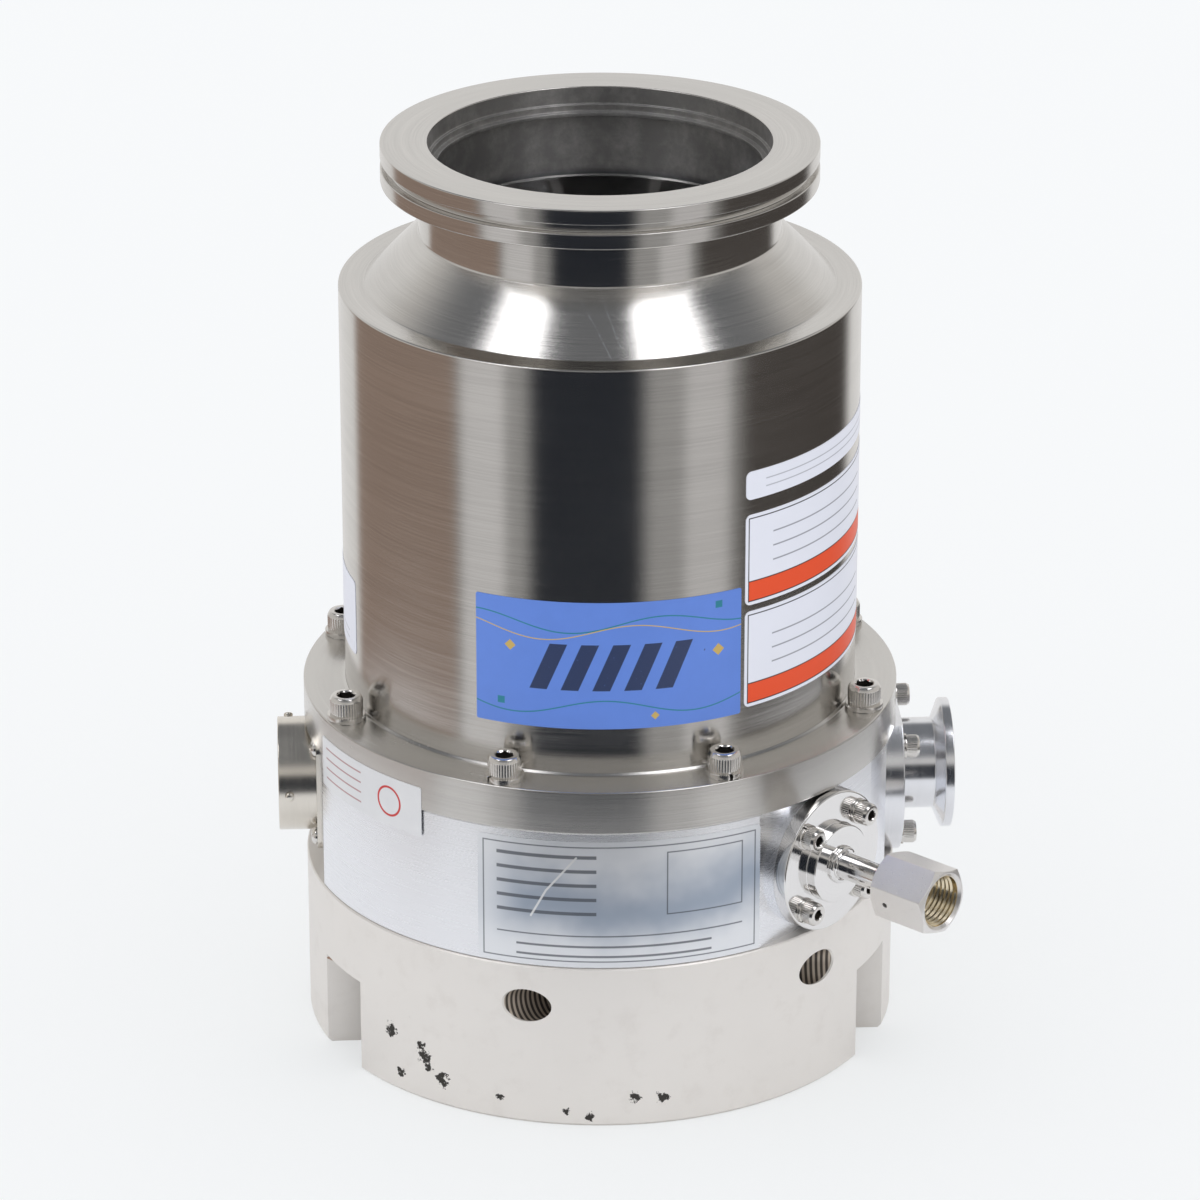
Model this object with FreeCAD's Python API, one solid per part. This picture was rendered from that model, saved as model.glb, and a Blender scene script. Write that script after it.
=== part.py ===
import FreeCAD, Part
import math
import os

from FreeCAD import Vector

# Turbomolecular pump, in millimetres. +Z points up along the rotor axis, out of the inlet.
# The origin is on the rotor axis, in the plane of the base. -Y is the front, +X the exhaust side.
# An azimuth is counted in degrees from the front towards +X.

# Shared clearances and general values
FULL_TURN = 360.0
QUARTER_TURN = 90.0
OVERSHOOT = 2.0
STACK_FIT = 0.3
SEAT_FIT = 0.1
THREAD_FIT = 0.05
DRILL_ROOM = 1.0
HOLE_CLEARANCE = 0.3
EDGE_BREAK = 0.4
RUNNING_FIT = 0.02

# Rotor and blade stages, from the exhaust end up to the inlet
BLADE_TIP_RADIUS = 69.5
TIP_CLEARANCE = 1.0
HUB_WALL = 7.5
HUB_RECESS = 4.3
HUB_RECESS_CORNER = 3.3
HUB_RIM = 5.0
ROTOR_PLATE = 8.0
ROTOR_STAGES = [6.0, 6.0, 7.0, 8.0, 9.5, 11.5]
ROTOR_BLADE_ANGLES = [20.0, 22.0, 25.0, 30.0, 35.0, 42.0]
STATOR_STAGES = [5.0, 5.0, 5.5, 6.0, 6.5]
STATOR_BLADE_ANGLES = [20.0, 22.0, 25.0, 30.0, 35.0]
BLADE_COUNT = 18
BLADE_THICKNESS = 1.6
BLADE_ROOT_BITE = 0.4
STAGE_GAP = 1.3
STATOR_RIM = 2.0
STATOR_HUB_CLEARANCE = 1.0
STATOR_SPLIT = 0.3
SPACER_WALL = 3.2

# Drum and threaded stage below the blades
DRUM_RADIUS = 66.0
DRUM_WALL = 5.0
DRUM_WEB = 6.0
DRUM_CLEARANCE = 0.6
DRUM_FLOOR_GAP = 3.3
THREAD_STAGE_HEIGHT = 37.3
THREAD_GROOVE_COUNT = 12
THREAD_GROOVE_WIDTH = 9.0
THREAD_GROOVE_DEPTH = 3.6
THREAD_GROOVE_ANGLE = 45.0

# Casing with the inlet flange of nominal bore 100
CASING_WALL = 4.0
HEAD_ROOM = 8.5
CASING_FLANGE_WIDTH = 12.8
CASING_FLANGE_THICKNESS = 13.3
CASING_FOOT_FILLET = 0.6
SHOULDER_WIDTH = 7.5
NECK_RADIUS = 54.0
NECK_HEIGHT = 15.1
INLET_FLANGE_RADIUS = 65.0
INLET_FLANGE_THICKNESS = 12.0
INLET_TOP_RIM = 4.5
INLET_GROOVE_WIDTH = 2.8
INLET_GROOVE_DEPTH = 2.5
INLET_BORE_RADIUS = 51.0
INLET_BORE_DEPTH = 5.4
INLET_STEP_RADIUS = 50.0
INLET_STEP_DEPTH = 2.0
INLET_LIP_RADIUS = 48.3
INLET_LIP_THICKNESS = 1.2
THROAT_RADIUS = 50.4
CONE_WALL = 3.0
THROAT_EASE = 1.7

# Casing bolts, with split spring washers
CASING_BOLT_COUNT = 8
CASING_BOLT_START = 22.5
CASING_BOLT_SIZE = 6.0
CASING_BOLT_HEAD_RADIUS = 5.0
CASING_BOLT_HEAD_HEIGHT = 6.0
CASING_BOLT_REACH = 12.0
CASING_BOLT_MARGIN = 0.1
SOCKET_RATIO = 0.82
HEX_CORNER = 1.1547
HEAD_CHAMFER = 0.5
WASHER_WIDTH = 2.5
WASHER_THICKNESS = 1.6
WASHER_SPLIT = 0.9
WASHER_SPLIT_ANGLE = 30.0
O_RING_WIDTH = 2.8
O_RING_HEIGHT = 2.2
O_RING_ROOM = 0.2
O_RING_MARGIN = 2.0

# Pump body between casing and base
BODY_STEP = 0.5
BODY_FLOOR = 10.0
CHAMBER_OUTER_RADIUS = 70.0
BODY_BORE_RADIUS = 22.0

# Exhaust port with the small flange of nominal bore 25
EXHAUST_AZIMUTH = 90.0
EXHAUST_FLAT = 85.6
EXHAUST_FLOOR_GAP = 0.4
EXHAUST_BORE_RADIUS = 13.1
EXHAUST_DUCT_STEP = 0.7
EXHAUST_PIPE_WALL = 0.9
EXHAUST_DISC_RIM = 4.7
EXHAUST_DISC_TRIM = 0.5
EXHAUST_DISC_THICKNESS = 6.3
EXHAUST_PIPE_LENGTH = 10.8
EXHAUST_FLANGE_RADIUS = 20.0
EXHAUST_FLANGE_RIM = 2.8
EXHAUST_FLANGE_TAPER = 2.5
EXHAUST_SCREW_WALL = 1.4
EXHAUST_SCREW_MARGIN = 3.52
EXHAUST_SCREW_START = 52.0
EXHAUST_SCREW_COUNT = 4
EXHAUST_SCREW_REACH = 5.0

# Purge port with its face-seal gland and nut
PURGE_AZIMUTH = 45.0
PURGE_FLAT = 86.5
PURGE_BOSS_HEIGHT = 2.1
PURGE_MARGIN = 0.3
PURGE_DISC_THICKNESS = 4.6
PURGE_SCREW_SPACING = 24.3
PURGE_HUB_RADIUS = 12.1
PURGE_HUB_HEIGHT = 3.4
PURGE_WELD_RADIUS = 5.4
PURGE_WELD_HEIGHT = 1.5
PURGE_TUBE_RADIUS = 4.0
PURGE_TUBE_BORE = 2.3
PURGE_TUBE_LENGTH = 25.1
PURGE_GLAND_RADIUS = 6.3
PURGE_GLAND_LENGTH = 5.0
NUT_WIDTH = 19.0
NUT_LENGTH = 20.0
NUT_THREAD_RADIUS = 7.2
NUT_CHAMBER_FIT = 0.35
NUT_BACK_WALL = 2.5
NUT_CORNER_CHAMFER = 1.0
NUT_COLLAR_RADIUS = 5.4
NUT_COLLAR_LENGTH = 2.3
NUT_TURN = -15.0
NUT_LEAK_FLAT = 210.0
NUT_LEAK_HOLE_RADIUS = 0.85
NUT_LEAK_HOLE_PLACE = 5.4

# Screws shared by the two ports
PORT_SCREW_SIZE = 4.0
PORT_SCREW_HEAD_RADIUS = 3.5
PORT_SCREW_HEAD_HEIGHT = 4.0
PORT_SCREW_REACH = 6.0
PORT_WASHER_THICKNESS = 1.0
PORT_WASHER_WIDTH = 1.6

# Connector with bayonet pins
CONNECTOR_AZIMUTH = -90.0
CONNECTOR_FLAT = 85.8
CONNECTOR_PLATE_SIDE = 37.4
CONNECTOR_PLATE_CORNER = 4.5
CONNECTOR_PLATE_THICKNESS = 1.8
CONNECTOR_PLATE_MARGIN = 0.7
CONNECTOR_BARREL_RADIUS = 17.45
CONNECTOR_BARREL_WALL = 1.5
CONNECTOR_BARREL_LENGTH = 11.6
CONNECTOR_SCREW_SPACING = 29.4
CONNECTOR_SCREW_SIZE = 3.0
CONNECTOR_SCREW_HEAD_RADIUS = 2.7
CONNECTOR_SCREW_HEAD_HEIGHT = 1.9
CONNECTOR_SCREW_HEAD_EDGE = 0.6
CONNECTOR_SCREW_REACH = 6.0
BAYONET_PIN_COUNT = 3
BAYONET_PIN_START = 0.0
BAYONET_PIN_RADIUS = 1.4
BAYONET_PIN_HEIGHT = 1.3
BAYONET_PIN_SETBACK = 3.4
INSERT_DEPTH = 8.2
INSERT_THICKNESS = 8.0
CONTACT_RADIUS = 0.6
CONTACT_LENGTH = 4.0
CONTACT_RING_RADII = [0.0, 5.2, 10.6]
CONTACT_RING_COUNTS = [1, 6, 12]

# Base
BASE_HEIGHT = 52.5
BASE_BOTTOM_CHAMFER = 1.0
CHANNEL_NEAR = 50.3
CHANNEL_FAR = 30.5
CHANNEL_HEIGHT = 30.0
POCKET_INNER = 58.0
POCKET_OUTER = 76.0
POCKET_HEIGHT = 9.0
POCKET_DEPTH = 3.0
WATER_PORT_HEIGHT = 39.4
WATER_PORT_RADIUS = 5.3
WATER_PORT_THREAD = 18.0
WATER_BORE_RADIUS = 3.4
WATER_PORT_AZIMUTHS = [-17.3, 43.2]
WATER_PORT_HEADINGS = [-63.0, 90.0]
WATER_BORE_LENGTHS = [46.0, 50.0]
FOOT_HOLE_CIRCLE = 80.0
FOOT_HOLE_RADIUS = 4.0
FOOT_HOLE_DEPTH = 16.0
FOOT_HOLE_START = 45.0
FOOT_HOLE_COUNT = 4
BASE_BOLT_CIRCLE = 60.0
BASE_BOLT_AZIMUTHS = [0.0, 90.0, 135.0, 180.0, 225.0, 270.0]
BASE_BOLT_SIZE = 6.0
BASE_BOLT_HEAD_RADIUS = 5.0
BASE_BOLT_HEAD_HEIGHT = 6.0
BASE_BOLT_REACH = 7.0
BASE_BOLT_SEAT = 40.0

# Stator column inside the rotor, with the magnetic bearings and the motor
COLUMN_RADIUS = 28.0
COLUMN_WALL = 4.0
COLUMN_CLEARANCE = 2.5
COLUMN_FLANGE_RIM = 5.5
COLUMN_FLANGE_THICKNESS = 8.0
COLUMN_TOP_GAP = 9.0
COLUMN_TOP_PLATE = 8.0
COLUMN_BOLT_SPACE = 5.5
COLUMN_BOLT_COUNT = 6
COLUMN_BOLT_SIZE = 4.0
COLUMN_BOLT_REACH = 6.0
RADIAL_MAGNET_LENGTH = 18.0
RADIAL_MAGNET_TEETH = 8
RADIAL_MAGNET_TOOTH = 5.0
RADIAL_MAGNET_GAP = 0.5
LOWER_MAGNET_SPACE = 16.0
UPPER_MAGNET_SPACE = 14.0
CORE_YOKE = 3.5
COIL_THICKNESS = 2.0
COIL_CLEARANCE = 0.2
COIL_SETBACK = 2.0
MOTOR_LENGTH = 40.0
MOTOR_TEETH = 9
MOTOR_TOOTH = 4.0
MOTOR_GAP = 0.6
MOTOR_MAGNET_WALL = 0.9
WINDING_OVERHANG = 7.0
WINDING_BAR = 3.4
SENSOR_SPACE = 4.5
SENSOR_SETBACK = 6.5
SENSOR_THICKNESS = 6.0
SENSOR_GAP = 0.6

# Shaft and thrust disc
SHAFT_RADIUS = 12.1
SHAFT_NECK_RADIUS = 9.5
SHAFT_TAIL_RADIUS = 7.0
SHAFT_JOURNAL_RADIUS = 9.2
SHAFT_FLANGE_RADIUS = 22.0
SHAFT_FLANGE_THICKNESS = 5.0
SHAFT_SPIGOT_RADIUS = 8.0
SHAFT_SPIGOT_HEIGHT = 7.0
SHAFT_TAIL_END = 10.8
SHAFT_NECK_END = 68.0
SHAFT_JOURNAL_DROP = 9.0
ROTOR_BOLT_CIRCLE = 16.0
ROTOR_BOLT_COUNT = 6
ROTOR_BOLT_SIZE = 5.0
ROTOR_BOLT_HEAD_RADIUS = 4.0
ROTOR_BOLT_HEAD_HEIGHT = 4.0
THRUST_MAGNET_SPACE = 3.0
THRUST_DISC_THICKNESS = 5.0
THRUST_DISC_RADIUS = 19.0
THRUST_GAP = 0.5
THRUST_NUT_WIDTH = 15.0
THRUST_NUT_THICKNESS = 5.5
AXIAL_MAGNET_THICKNESS = 12.0
AXIAL_MAGNET_BORE = 10.5
AXIAL_COIL_INNER = 13.5
AXIAL_COIL_OUTER = 18.3
AXIAL_COIL_DEPTH = 6.0

# Touchdown bearings
TOUCHDOWN_GAP = 0.3
UPPER_BEARING_RADIUS = 15.0
UPPER_BEARING_WIDTH = 6.0
LOWER_BEARING_RADIUS = 12.4
LOWER_BEARING_WIDTH = 5.0
BEARING_LIP = 2.4
BALL_COUNT = 8
BALL_SHARE = 0.3
BALL_CLEARANCE = 0.05
RACE_SHOULDER = 0.4

# Bottom cover under the lower bearing
COVER_RADIUS = 28.0
COVER_THICKNESS = 7.0
COVER_RECESS = 2.0
COVER_BOSS_RADIUS = 15.0
COVER_BOSS_HEIGHT = 8.0
COVER_WELL_DEPTH = 3.0
COVER_SCREW_CIRCLE = 25.2
COVER_SCREW_COUNT = 6
COVER_SCREW_SIZE = 2.5
COVER_SCREW_HEAD_RADIUS = 2.2
COVER_SCREW_HEAD_HEIGHT = 1.5
COVER_SCREW_REACH = 5.0

# Heights and radii that follow from the values above
BASE_TOP = BASE_HEIGHT
CHAMBER_FLOOR = BASE_TOP + BODY_FLOOR
EXHAUST_HEIGHT = CHAMBER_FLOOR + EXHAUST_FLOOR_GAP + EXHAUST_BORE_RADIUS
EXHAUST_SEAL_OUTER = EXHAUST_BORE_RADIUS + O_RING_MARGIN + O_RING_WIDTH + O_RING_ROOM
EXHAUST_SCREW_CIRCLE = EXHAUST_SEAL_OUTER + EXHAUST_SCREW_WALL + PORT_SCREW_SIZE / 2 + HOLE_CLEARANCE
EXHAUST_SCREW_RISE = EXHAUST_SCREW_CIRCLE * math.sin(math.radians(EXHAUST_SCREW_START))
EXHAUST_DISC_RADIUS = EXHAUST_SCREW_CIRCLE + EXHAUST_DISC_RIM
EXHAUST_DISC_FACE = EXHAUST_FLAT + EXHAUST_DISC_THICKNESS
BODY_TOP = EXHAUST_HEIGHT + EXHAUST_SCREW_RISE + EXHAUST_SCREW_MARGIN
BODY_HEIGHT = BODY_TOP - BASE_TOP
HUB_RADIUS = COLUMN_RADIUS + COLUMN_CLEARANCE + HUB_WALL
COLUMN_BOLT_CIRCLE = COLUMN_RADIUS + COLUMN_BOLT_SPACE
COLUMN_FLANGE_RADIUS = COLUMN_BOLT_CIRCLE + COLUMN_FLANGE_RIM
FLANGE_TOP = BODY_TOP + CASING_FLANGE_THICKNESS
STACK_BOTTOM = BODY_TOP + THREAD_STAGE_HEIGHT
HUB_TOP = STACK_BOTTOM + sum(ROTOR_STAGES) + sum(STATOR_STAGES) + STAGE_GAP * (2 * len(ROTOR_STAGES) - 1)
ROOF = HUB_TOP + HEAD_ROOM
SHOULDER = ROOF + CASING_WALL
SPACER_INNER = BLADE_TIP_RADIUS + TIP_CLEARANCE
SPACER_OUTER = SPACER_INNER + SPACER_WALL
CASING_BORE = SPACER_OUTER + STACK_FIT
CASING_RADIUS = CASING_BORE + CASING_WALL
FLANGE_RADIUS = CASING_RADIUS + CASING_FLANGE_WIDTH
CONE_RADIUS = CASING_RADIUS - SHOULDER_WIDTH
NECK_BOTTOM = SHOULDER + CONE_RADIUS - NECK_RADIUS
INLET_UNDERSIDE = NECK_BOTTOM + NECK_HEIGHT
INLET_FACE = INLET_UNDERSIDE + INLET_FLANGE_THICKNESS
CASING_WASHER_RADIUS = CASING_BOLT_SIZE / 2 + HOLE_CLEARANCE + WASHER_WIDTH
CASING_BOLT_CIRCLE = CASING_RADIUS + CASING_FOOT_FILLET + CASING_WASHER_RADIUS + CASING_BOLT_MARGIN
BODY_RADIUS = FLANGE_RADIUS - BODY_STEP
BASE_RADIUS = FLANGE_RADIUS
BORE_RADIUS = BODY_BORE_RADIUS
COVER_TOP = COVER_RECESS + COVER_THICKNESS
PURGE_HEIGHT = BASE_TOP + BODY_HEIGHT / 2
PURGE_DISC_RADIUS = BODY_HEIGHT / 2 - PURGE_MARGIN
PURGE_DISC_BACK = PURGE_FLAT + PURGE_BOSS_HEIGHT
PURGE_DISC_FACE = PURGE_DISC_BACK + PURGE_DISC_THICKNESS
CONNECTOR_HEIGHT = BODY_TOP - CONNECTOR_PLATE_MARGIN - CONNECTOR_PLATE_SIDE / 2
CONNECTOR_PLATE_FACE = CONNECTOR_FLAT + CONNECTOR_PLATE_THICKNESS
CONNECTOR_END = CONNECTOR_PLATE_FACE + CONNECTOR_BARREL_LENGTH
COLUMN_BORE = COLUMN_RADIUS - COLUMN_WALL
ROTOR_CAVITY = HUB_RADIUS - HUB_WALL
PLATE_TOP = HUB_TOP - HUB_RECESS
PLATE_BOTTOM = PLATE_TOP - ROTOR_PLATE
COLUMN_TOP = PLATE_BOTTOM - COLUMN_TOP_GAP
SENSOR_HEIGHT = COLUMN_TOP - UPPER_BEARING_WIDTH - SENSOR_SETBACK - SENSOR_THICKNESS
UPPER_MAGNET_HEIGHT = SENSOR_HEIGHT - SENSOR_SPACE - RADIAL_MAGNET_LENGTH
MOTOR_HEIGHT = UPPER_MAGNET_HEIGHT - UPPER_MAGNET_SPACE - MOTOR_LENGTH
LOWER_MAGNET_HEIGHT = MOTOR_HEIGHT - LOWER_MAGNET_SPACE - RADIAL_MAGNET_LENGTH
LOWER_AXIAL = COVER_TOP + COVER_BOSS_HEIGHT + THRUST_MAGNET_SPACE
THRUST_DISC_HEIGHT = LOWER_AXIAL + AXIAL_MAGNET_THICKNESS + THRUST_GAP
UPPER_AXIAL = THRUST_DISC_HEIGHT + THRUST_DISC_THICKNESS + THRUST_GAP
DRUM_BOTTOM = BODY_TOP + DRUM_FLOOR_GAP
UPPER_BEARING_BORE = SHAFT_JOURNAL_RADIUS + TOUCHDOWN_GAP
LOWER_BEARING_BORE = SHAFT_TAIL_RADIUS + TOUCHDOWN_GAP

AXIS = Vector(0, 0, 1)
ORIGIN = Vector(0, 0, 0)


def disc(radius, low, high):
    """Cylinder about the rotor axis between two heights."""
    return Part.makeCylinder(radius, high - low, Vector(0, 0, low))


def ring(outer, inner, low, high):
    """Flat ring about the rotor axis between two heights."""
    return disc(outer, low, high).cut(disc(inner, low - OVERSHOOT, high + OVERSHOOT))


def turned(profile):
    """Solid turned about the rotor axis from its (radius, height) corners."""
    corners = [Vector(radius, 0, height) for radius, height in profile]
    outline = Part.makePolygon(corners + corners[:1])
    return Part.Face(outline).revolve(ORIGIN, AXIS, FULL_TURN)


def prism(corners, direction):
    """Solid pushed out of a flat outline."""
    outline = Part.makePolygon(corners + corners[:1])
    return Part.Face(outline).extrude(direction)


def hexagon(width, low, high):
    """Hexagonal bar about the axis, with its width across the flats."""
    corner = width * HEX_CORNER / 2
    corners = []
    for step in range(6):
        angle = math.radians(FULL_TURN * step / 6)
        corners.append(Vector(corner * math.cos(angle), corner * math.sin(angle), low))
    return prism(corners, Vector(0, 0, high - low))


def at_azimuth(shape, azimuth):
    """Copy of a shape turned about the rotor axis."""
    copy = shape.copy()
    copy.rotate(ORIGIN, AXIS, azimuth)
    return copy


def around(shape, count, start=0.0):
    """Evenly spaced copies of a shape about the rotor axis."""
    return [at_azimuth(shape, start + FULL_TURN * step / count) for step in range(count)]


def moved(shape, x, y, z):
    """Copy of a shape moved along the three axes."""
    copy = shape.copy()
    copy.translate(Vector(x, y, z))
    return copy


def on_circle(shape, radius, count, start=0.0):
    """Copies of a shape on a circle about the rotor axis, the first at the start azimuth."""
    return around(moved(shape, 0, -radius, 0), count, start)


def at_port(shape, azimuth, height):
    """Turn a shape built along +Z to point outwards at a height on the side of the pump."""
    copy = shape.copy()
    copy.rotate(ORIGIN, Vector(1, 0, 0), QUARTER_TURN)
    copy.rotate(ORIGIN, AXIS, azimuth)
    copy.translate(Vector(0, 0, height))
    return copy


def joined(first, others):
    """One solid fused from a first shape and a list of others."""
    return first.fuse(others)


def without(shape, tools):
    """A shape with a list of tools cut away."""
    return shape.cut(tools)


def socket_screw(size, head_radius, head_height, length):
    """Socket head screw along Z, with its seat under the head at height 0."""
    chamfer = HEAD_CHAMFER
    screw = turned(
        [
            (0, -length),
            (size / 2, -length),
            (size / 2, 0),
            (head_radius, 0),
            (head_radius, head_height - chamfer),
            (head_radius - chamfer, head_height),
            (0, head_height),
        ]
    )
    socket = hexagon(size * SOCKET_RATIO, head_height / 2, head_height + OVERSHOOT)
    return screw.cut(socket)


def spring_washer(inner, width, thickness):
    """Split spring washer, flattened, standing on height 0."""
    washer = ring(inner + width, inner, 0, thickness)
    split = Part.makeBox(WASHER_SPLIT, width + OVERSHOOT * 2, thickness + OVERSHOOT * 2)
    split.translate(Vector(-WASHER_SPLIT / 2, inner - OVERSHOOT, -OVERSHOOT))
    split.rotate(ORIGIN, Vector(0, 1, 0), WASHER_SPLIT_ANGLE)
    return washer.cut(split)


def chord_distance(radius, height, angle):
    """Distance from the axis at which an inclined blade's square end has its corners on a radius."""
    half_slant = height / math.tan(math.radians(angle)) / 2
    half_width = BLADE_THICKNESS / math.sin(math.radians(angle)) / 2
    return math.sqrt(radius**2 - (half_slant + half_width) ** 2)


def blade_row(near, far, low, height, angle, lean, start):
    """Row of inclined blades with square ends at two distances from the axis. The lean is +1 or -1."""
    slant = lean * height / math.tan(math.radians(angle))
    half = BLADE_THICKNESS / math.sin(math.radians(angle)) / 2
    corners = [
        Vector(-slant / 2 - half, -near, low),
        Vector(-slant / 2 + half, -near, low),
        Vector(slant / 2 + half, -near, low + height),
        Vector(slant / 2 - half, -near, low + height),
    ]
    blade = prism(corners, Vector(0, near - far, 0))
    return around(blade, BLADE_COUNT, start)


def stage_heights():
    """Lower heights of the rotor rows and of the stator rows."""
    rotor_rows = []
    stator_rows = []
    height = STACK_BOTTOM + STAGE_GAP
    for index, rotor_height in enumerate(ROTOR_STAGES):
        rotor_rows.append(height)
        height += rotor_height + STAGE_GAP
        if index < len(STATOR_STAGES):
            stator_rows.append(height)
            height += STATOR_STAGES[index] + STAGE_GAP
    return rotor_rows, stator_rows


ROTOR_ROWS, STATOR_ROWS = stage_heights()


def rotor():
    """One-piece bell: hub with blade rows, web and drum."""
    spigot_hole = SHAFT_SPIGOT_RADIUS + RUNNING_FIT
    bell = turned(
        [
            (spigot_hole, PLATE_BOTTOM),
            (ROTOR_CAVITY, PLATE_BOTTOM),
            (ROTOR_CAVITY, STACK_BOTTOM - DRUM_WEB),
            (DRUM_RADIUS - DRUM_WALL, STACK_BOTTOM - DRUM_WEB),
            (DRUM_RADIUS - DRUM_WALL, DRUM_BOTTOM),
            (DRUM_RADIUS, DRUM_BOTTOM),
            (DRUM_RADIUS, STACK_BOTTOM),
            (HUB_RADIUS, STACK_BOTTOM),
            (HUB_RADIUS, HUB_TOP),
            (HUB_RADIUS - HUB_RIM, HUB_TOP),
            (HUB_RADIUS - HUB_RIM - HUB_RECESS_CORNER, PLATE_TOP),
            (spigot_hole, PLATE_TOP),
        ]
    )
    blades = []
    for low, height, angle in zip(ROTOR_ROWS, ROTOR_STAGES, ROTOR_BLADE_ANGLES):
        near = chord_distance(HUB_RADIUS, height, angle) - BLADE_ROOT_BITE
        far = chord_distance(BLADE_TIP_RADIUS, height, angle)
        blades += blade_row(near, far, low, height, angle, 1, 0.0)
    bell = joined(bell, blades)
    hole = disc(ROTOR_BOLT_SIZE / 2 + HOLE_CLEARANCE, PLATE_BOTTOM - OVERSHOOT, PLATE_TOP + OVERSHOOT)
    return without(bell, on_circle(hole, ROTOR_BOLT_CIRCLE, ROTOR_BOLT_COUNT))


def rotor_bolts():
    """Bolts that hold the bell on the shaft flange."""
    length = ROTOR_PLATE + SHAFT_FLANGE_THICKNESS
    bolt = socket_screw(ROTOR_BOLT_SIZE, ROTOR_BOLT_HEAD_RADIUS, ROTOR_BOLT_HEAD_HEIGHT, length)
    return Part.makeCompound(on_circle(moved(bolt, 0, 0, PLATE_TOP), ROTOR_BOLT_CIRCLE, ROTOR_BOLT_COUNT))


def rotor_shaft():
    """Stepped shaft with its top flange and spigot."""
    thrust_shoulder = THRUST_DISC_HEIGHT + THRUST_DISC_THICKNESS
    flange_bottom = PLATE_BOTTOM - SHAFT_FLANGE_THICKNESS
    journal_bottom = COLUMN_TOP - SHAFT_JOURNAL_DROP
    shaft = turned(
        [
            (0, SHAFT_TAIL_END),
            (SHAFT_TAIL_RADIUS, SHAFT_TAIL_END),
            (SHAFT_TAIL_RADIUS, thrust_shoulder),
            (SHAFT_NECK_RADIUS, thrust_shoulder),
            (SHAFT_NECK_RADIUS, SHAFT_NECK_END),
            (SHAFT_RADIUS, SHAFT_NECK_END),
            (SHAFT_RADIUS, journal_bottom),
            (SHAFT_JOURNAL_RADIUS, journal_bottom),
            (SHAFT_JOURNAL_RADIUS, flange_bottom),
            (SHAFT_FLANGE_RADIUS, flange_bottom),
            (SHAFT_FLANGE_RADIUS, PLATE_BOTTOM),
            (SHAFT_SPIGOT_RADIUS, PLATE_BOTTOM),
            (SHAFT_SPIGOT_RADIUS, PLATE_BOTTOM + SHAFT_SPIGOT_HEIGHT),
            (0, PLATE_BOTTOM + SHAFT_SPIGOT_HEIGHT),
        ]
    )
    hole = disc(ROTOR_BOLT_SIZE / 2 + THREAD_FIT, flange_bottom - OVERSHOOT, PLATE_BOTTOM + OVERSHOOT)
    return without(shaft, on_circle(hole, ROTOR_BOLT_CIRCLE, ROTOR_BOLT_COUNT))


def thrust_disc():
    """Disc between the two axial magnets."""
    top = THRUST_DISC_HEIGHT + THRUST_DISC_THICKNESS
    return ring(THRUST_DISC_RADIUS, SHAFT_TAIL_RADIUS + RUNNING_FIT, THRUST_DISC_HEIGHT, top)


def thrust_disc_nut():
    """Nut that clamps the thrust disc against the shaft's shoulder."""
    low = THRUST_DISC_HEIGHT - THRUST_NUT_THICKNESS
    bore = disc(SHAFT_TAIL_RADIUS + RUNNING_FIT, low - OVERSHOOT, THRUST_DISC_HEIGHT + OVERSHOOT)
    return hexagon(THRUST_NUT_WIDTH, low, THRUST_DISC_HEIGHT).cut(bore)


def motor_magnet():
    """Magnet sleeve on the shaft inside the motor."""
    outer = SHAFT_RADIUS + MOTOR_MAGNET_WALL
    return ring(outer, SHAFT_RADIUS + RUNNING_FIT, MOTOR_HEIGHT, MOTOR_HEIGHT + MOTOR_LENGTH)


def stator_disc(index):
    """Inclined stator blades between two rims, split into two half discs."""
    low = STATOR_ROWS[index]
    height = STATOR_STAGES[index]
    inner = HUB_RADIUS + STATOR_HUB_CLEARANCE
    rim = inner + STATOR_RIM
    angle = STATOR_BLADE_ANGLES[index]
    near = chord_distance(rim, height, angle) - BLADE_ROOT_BITE
    far = SPACER_INNER + BLADE_ROOT_BITE
    blades = blade_row(near, far, low, height, angle, -1, FULL_TURN / BLADE_COUNT / 2)
    rims = [ring(SPACER_OUTER, SPACER_INNER, low, low + height)]
    whole = joined(ring(rim, inner, low, low + height), rims + blades)
    split = Part.makeBox(STATOR_SPLIT, CASING_RADIUS * 2, height + OVERSHOOT * 2)
    split.translate(Vector(-STATOR_SPLIT / 2, -CASING_RADIUS, low - OVERSHOOT))
    return whole.cut(split)


def stator_spacer(index):
    """Spacer ring around one rotor row, up to the next stator disc or the casing roof."""
    low = STACK_BOTTOM
    if index > 0:
        low = STATOR_ROWS[index - 1] + STATOR_STAGES[index - 1]
    high = ROOF - STACK_FIT
    if index < len(STATOR_ROWS):
        high = STATOR_ROWS[index]
    return ring(SPACER_OUTER, SPACER_INNER, low, high)


def thread_stator():
    """Sleeve around the drum with steep helical grooves on its inner wall."""
    inner = DRUM_RADIUS + DRUM_CLEARANCE
    sleeve = ring(SPACER_OUTER, inner, BODY_TOP, STACK_BOTTOM)
    reach = THREAD_STAGE_HEIGHT * 2
    groove = Part.makeBox(THREAD_GROOVE_WIDTH, THREAD_GROOVE_DEPTH + OVERSHOOT * 2, reach)
    groove.translate(Vector(-THREAD_GROOVE_WIDTH / 2, -(inner + THREAD_GROOVE_DEPTH), -reach / 2))
    groove.rotate(ORIGIN, Vector(0, 1, 0), THREAD_GROOVE_ANGLE)
    groove.translate(Vector(0, 0, BODY_TOP + THREAD_STAGE_HEIGHT / 2))
    return without(sleeve, around(groove, THREAD_GROOVE_COUNT))


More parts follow.
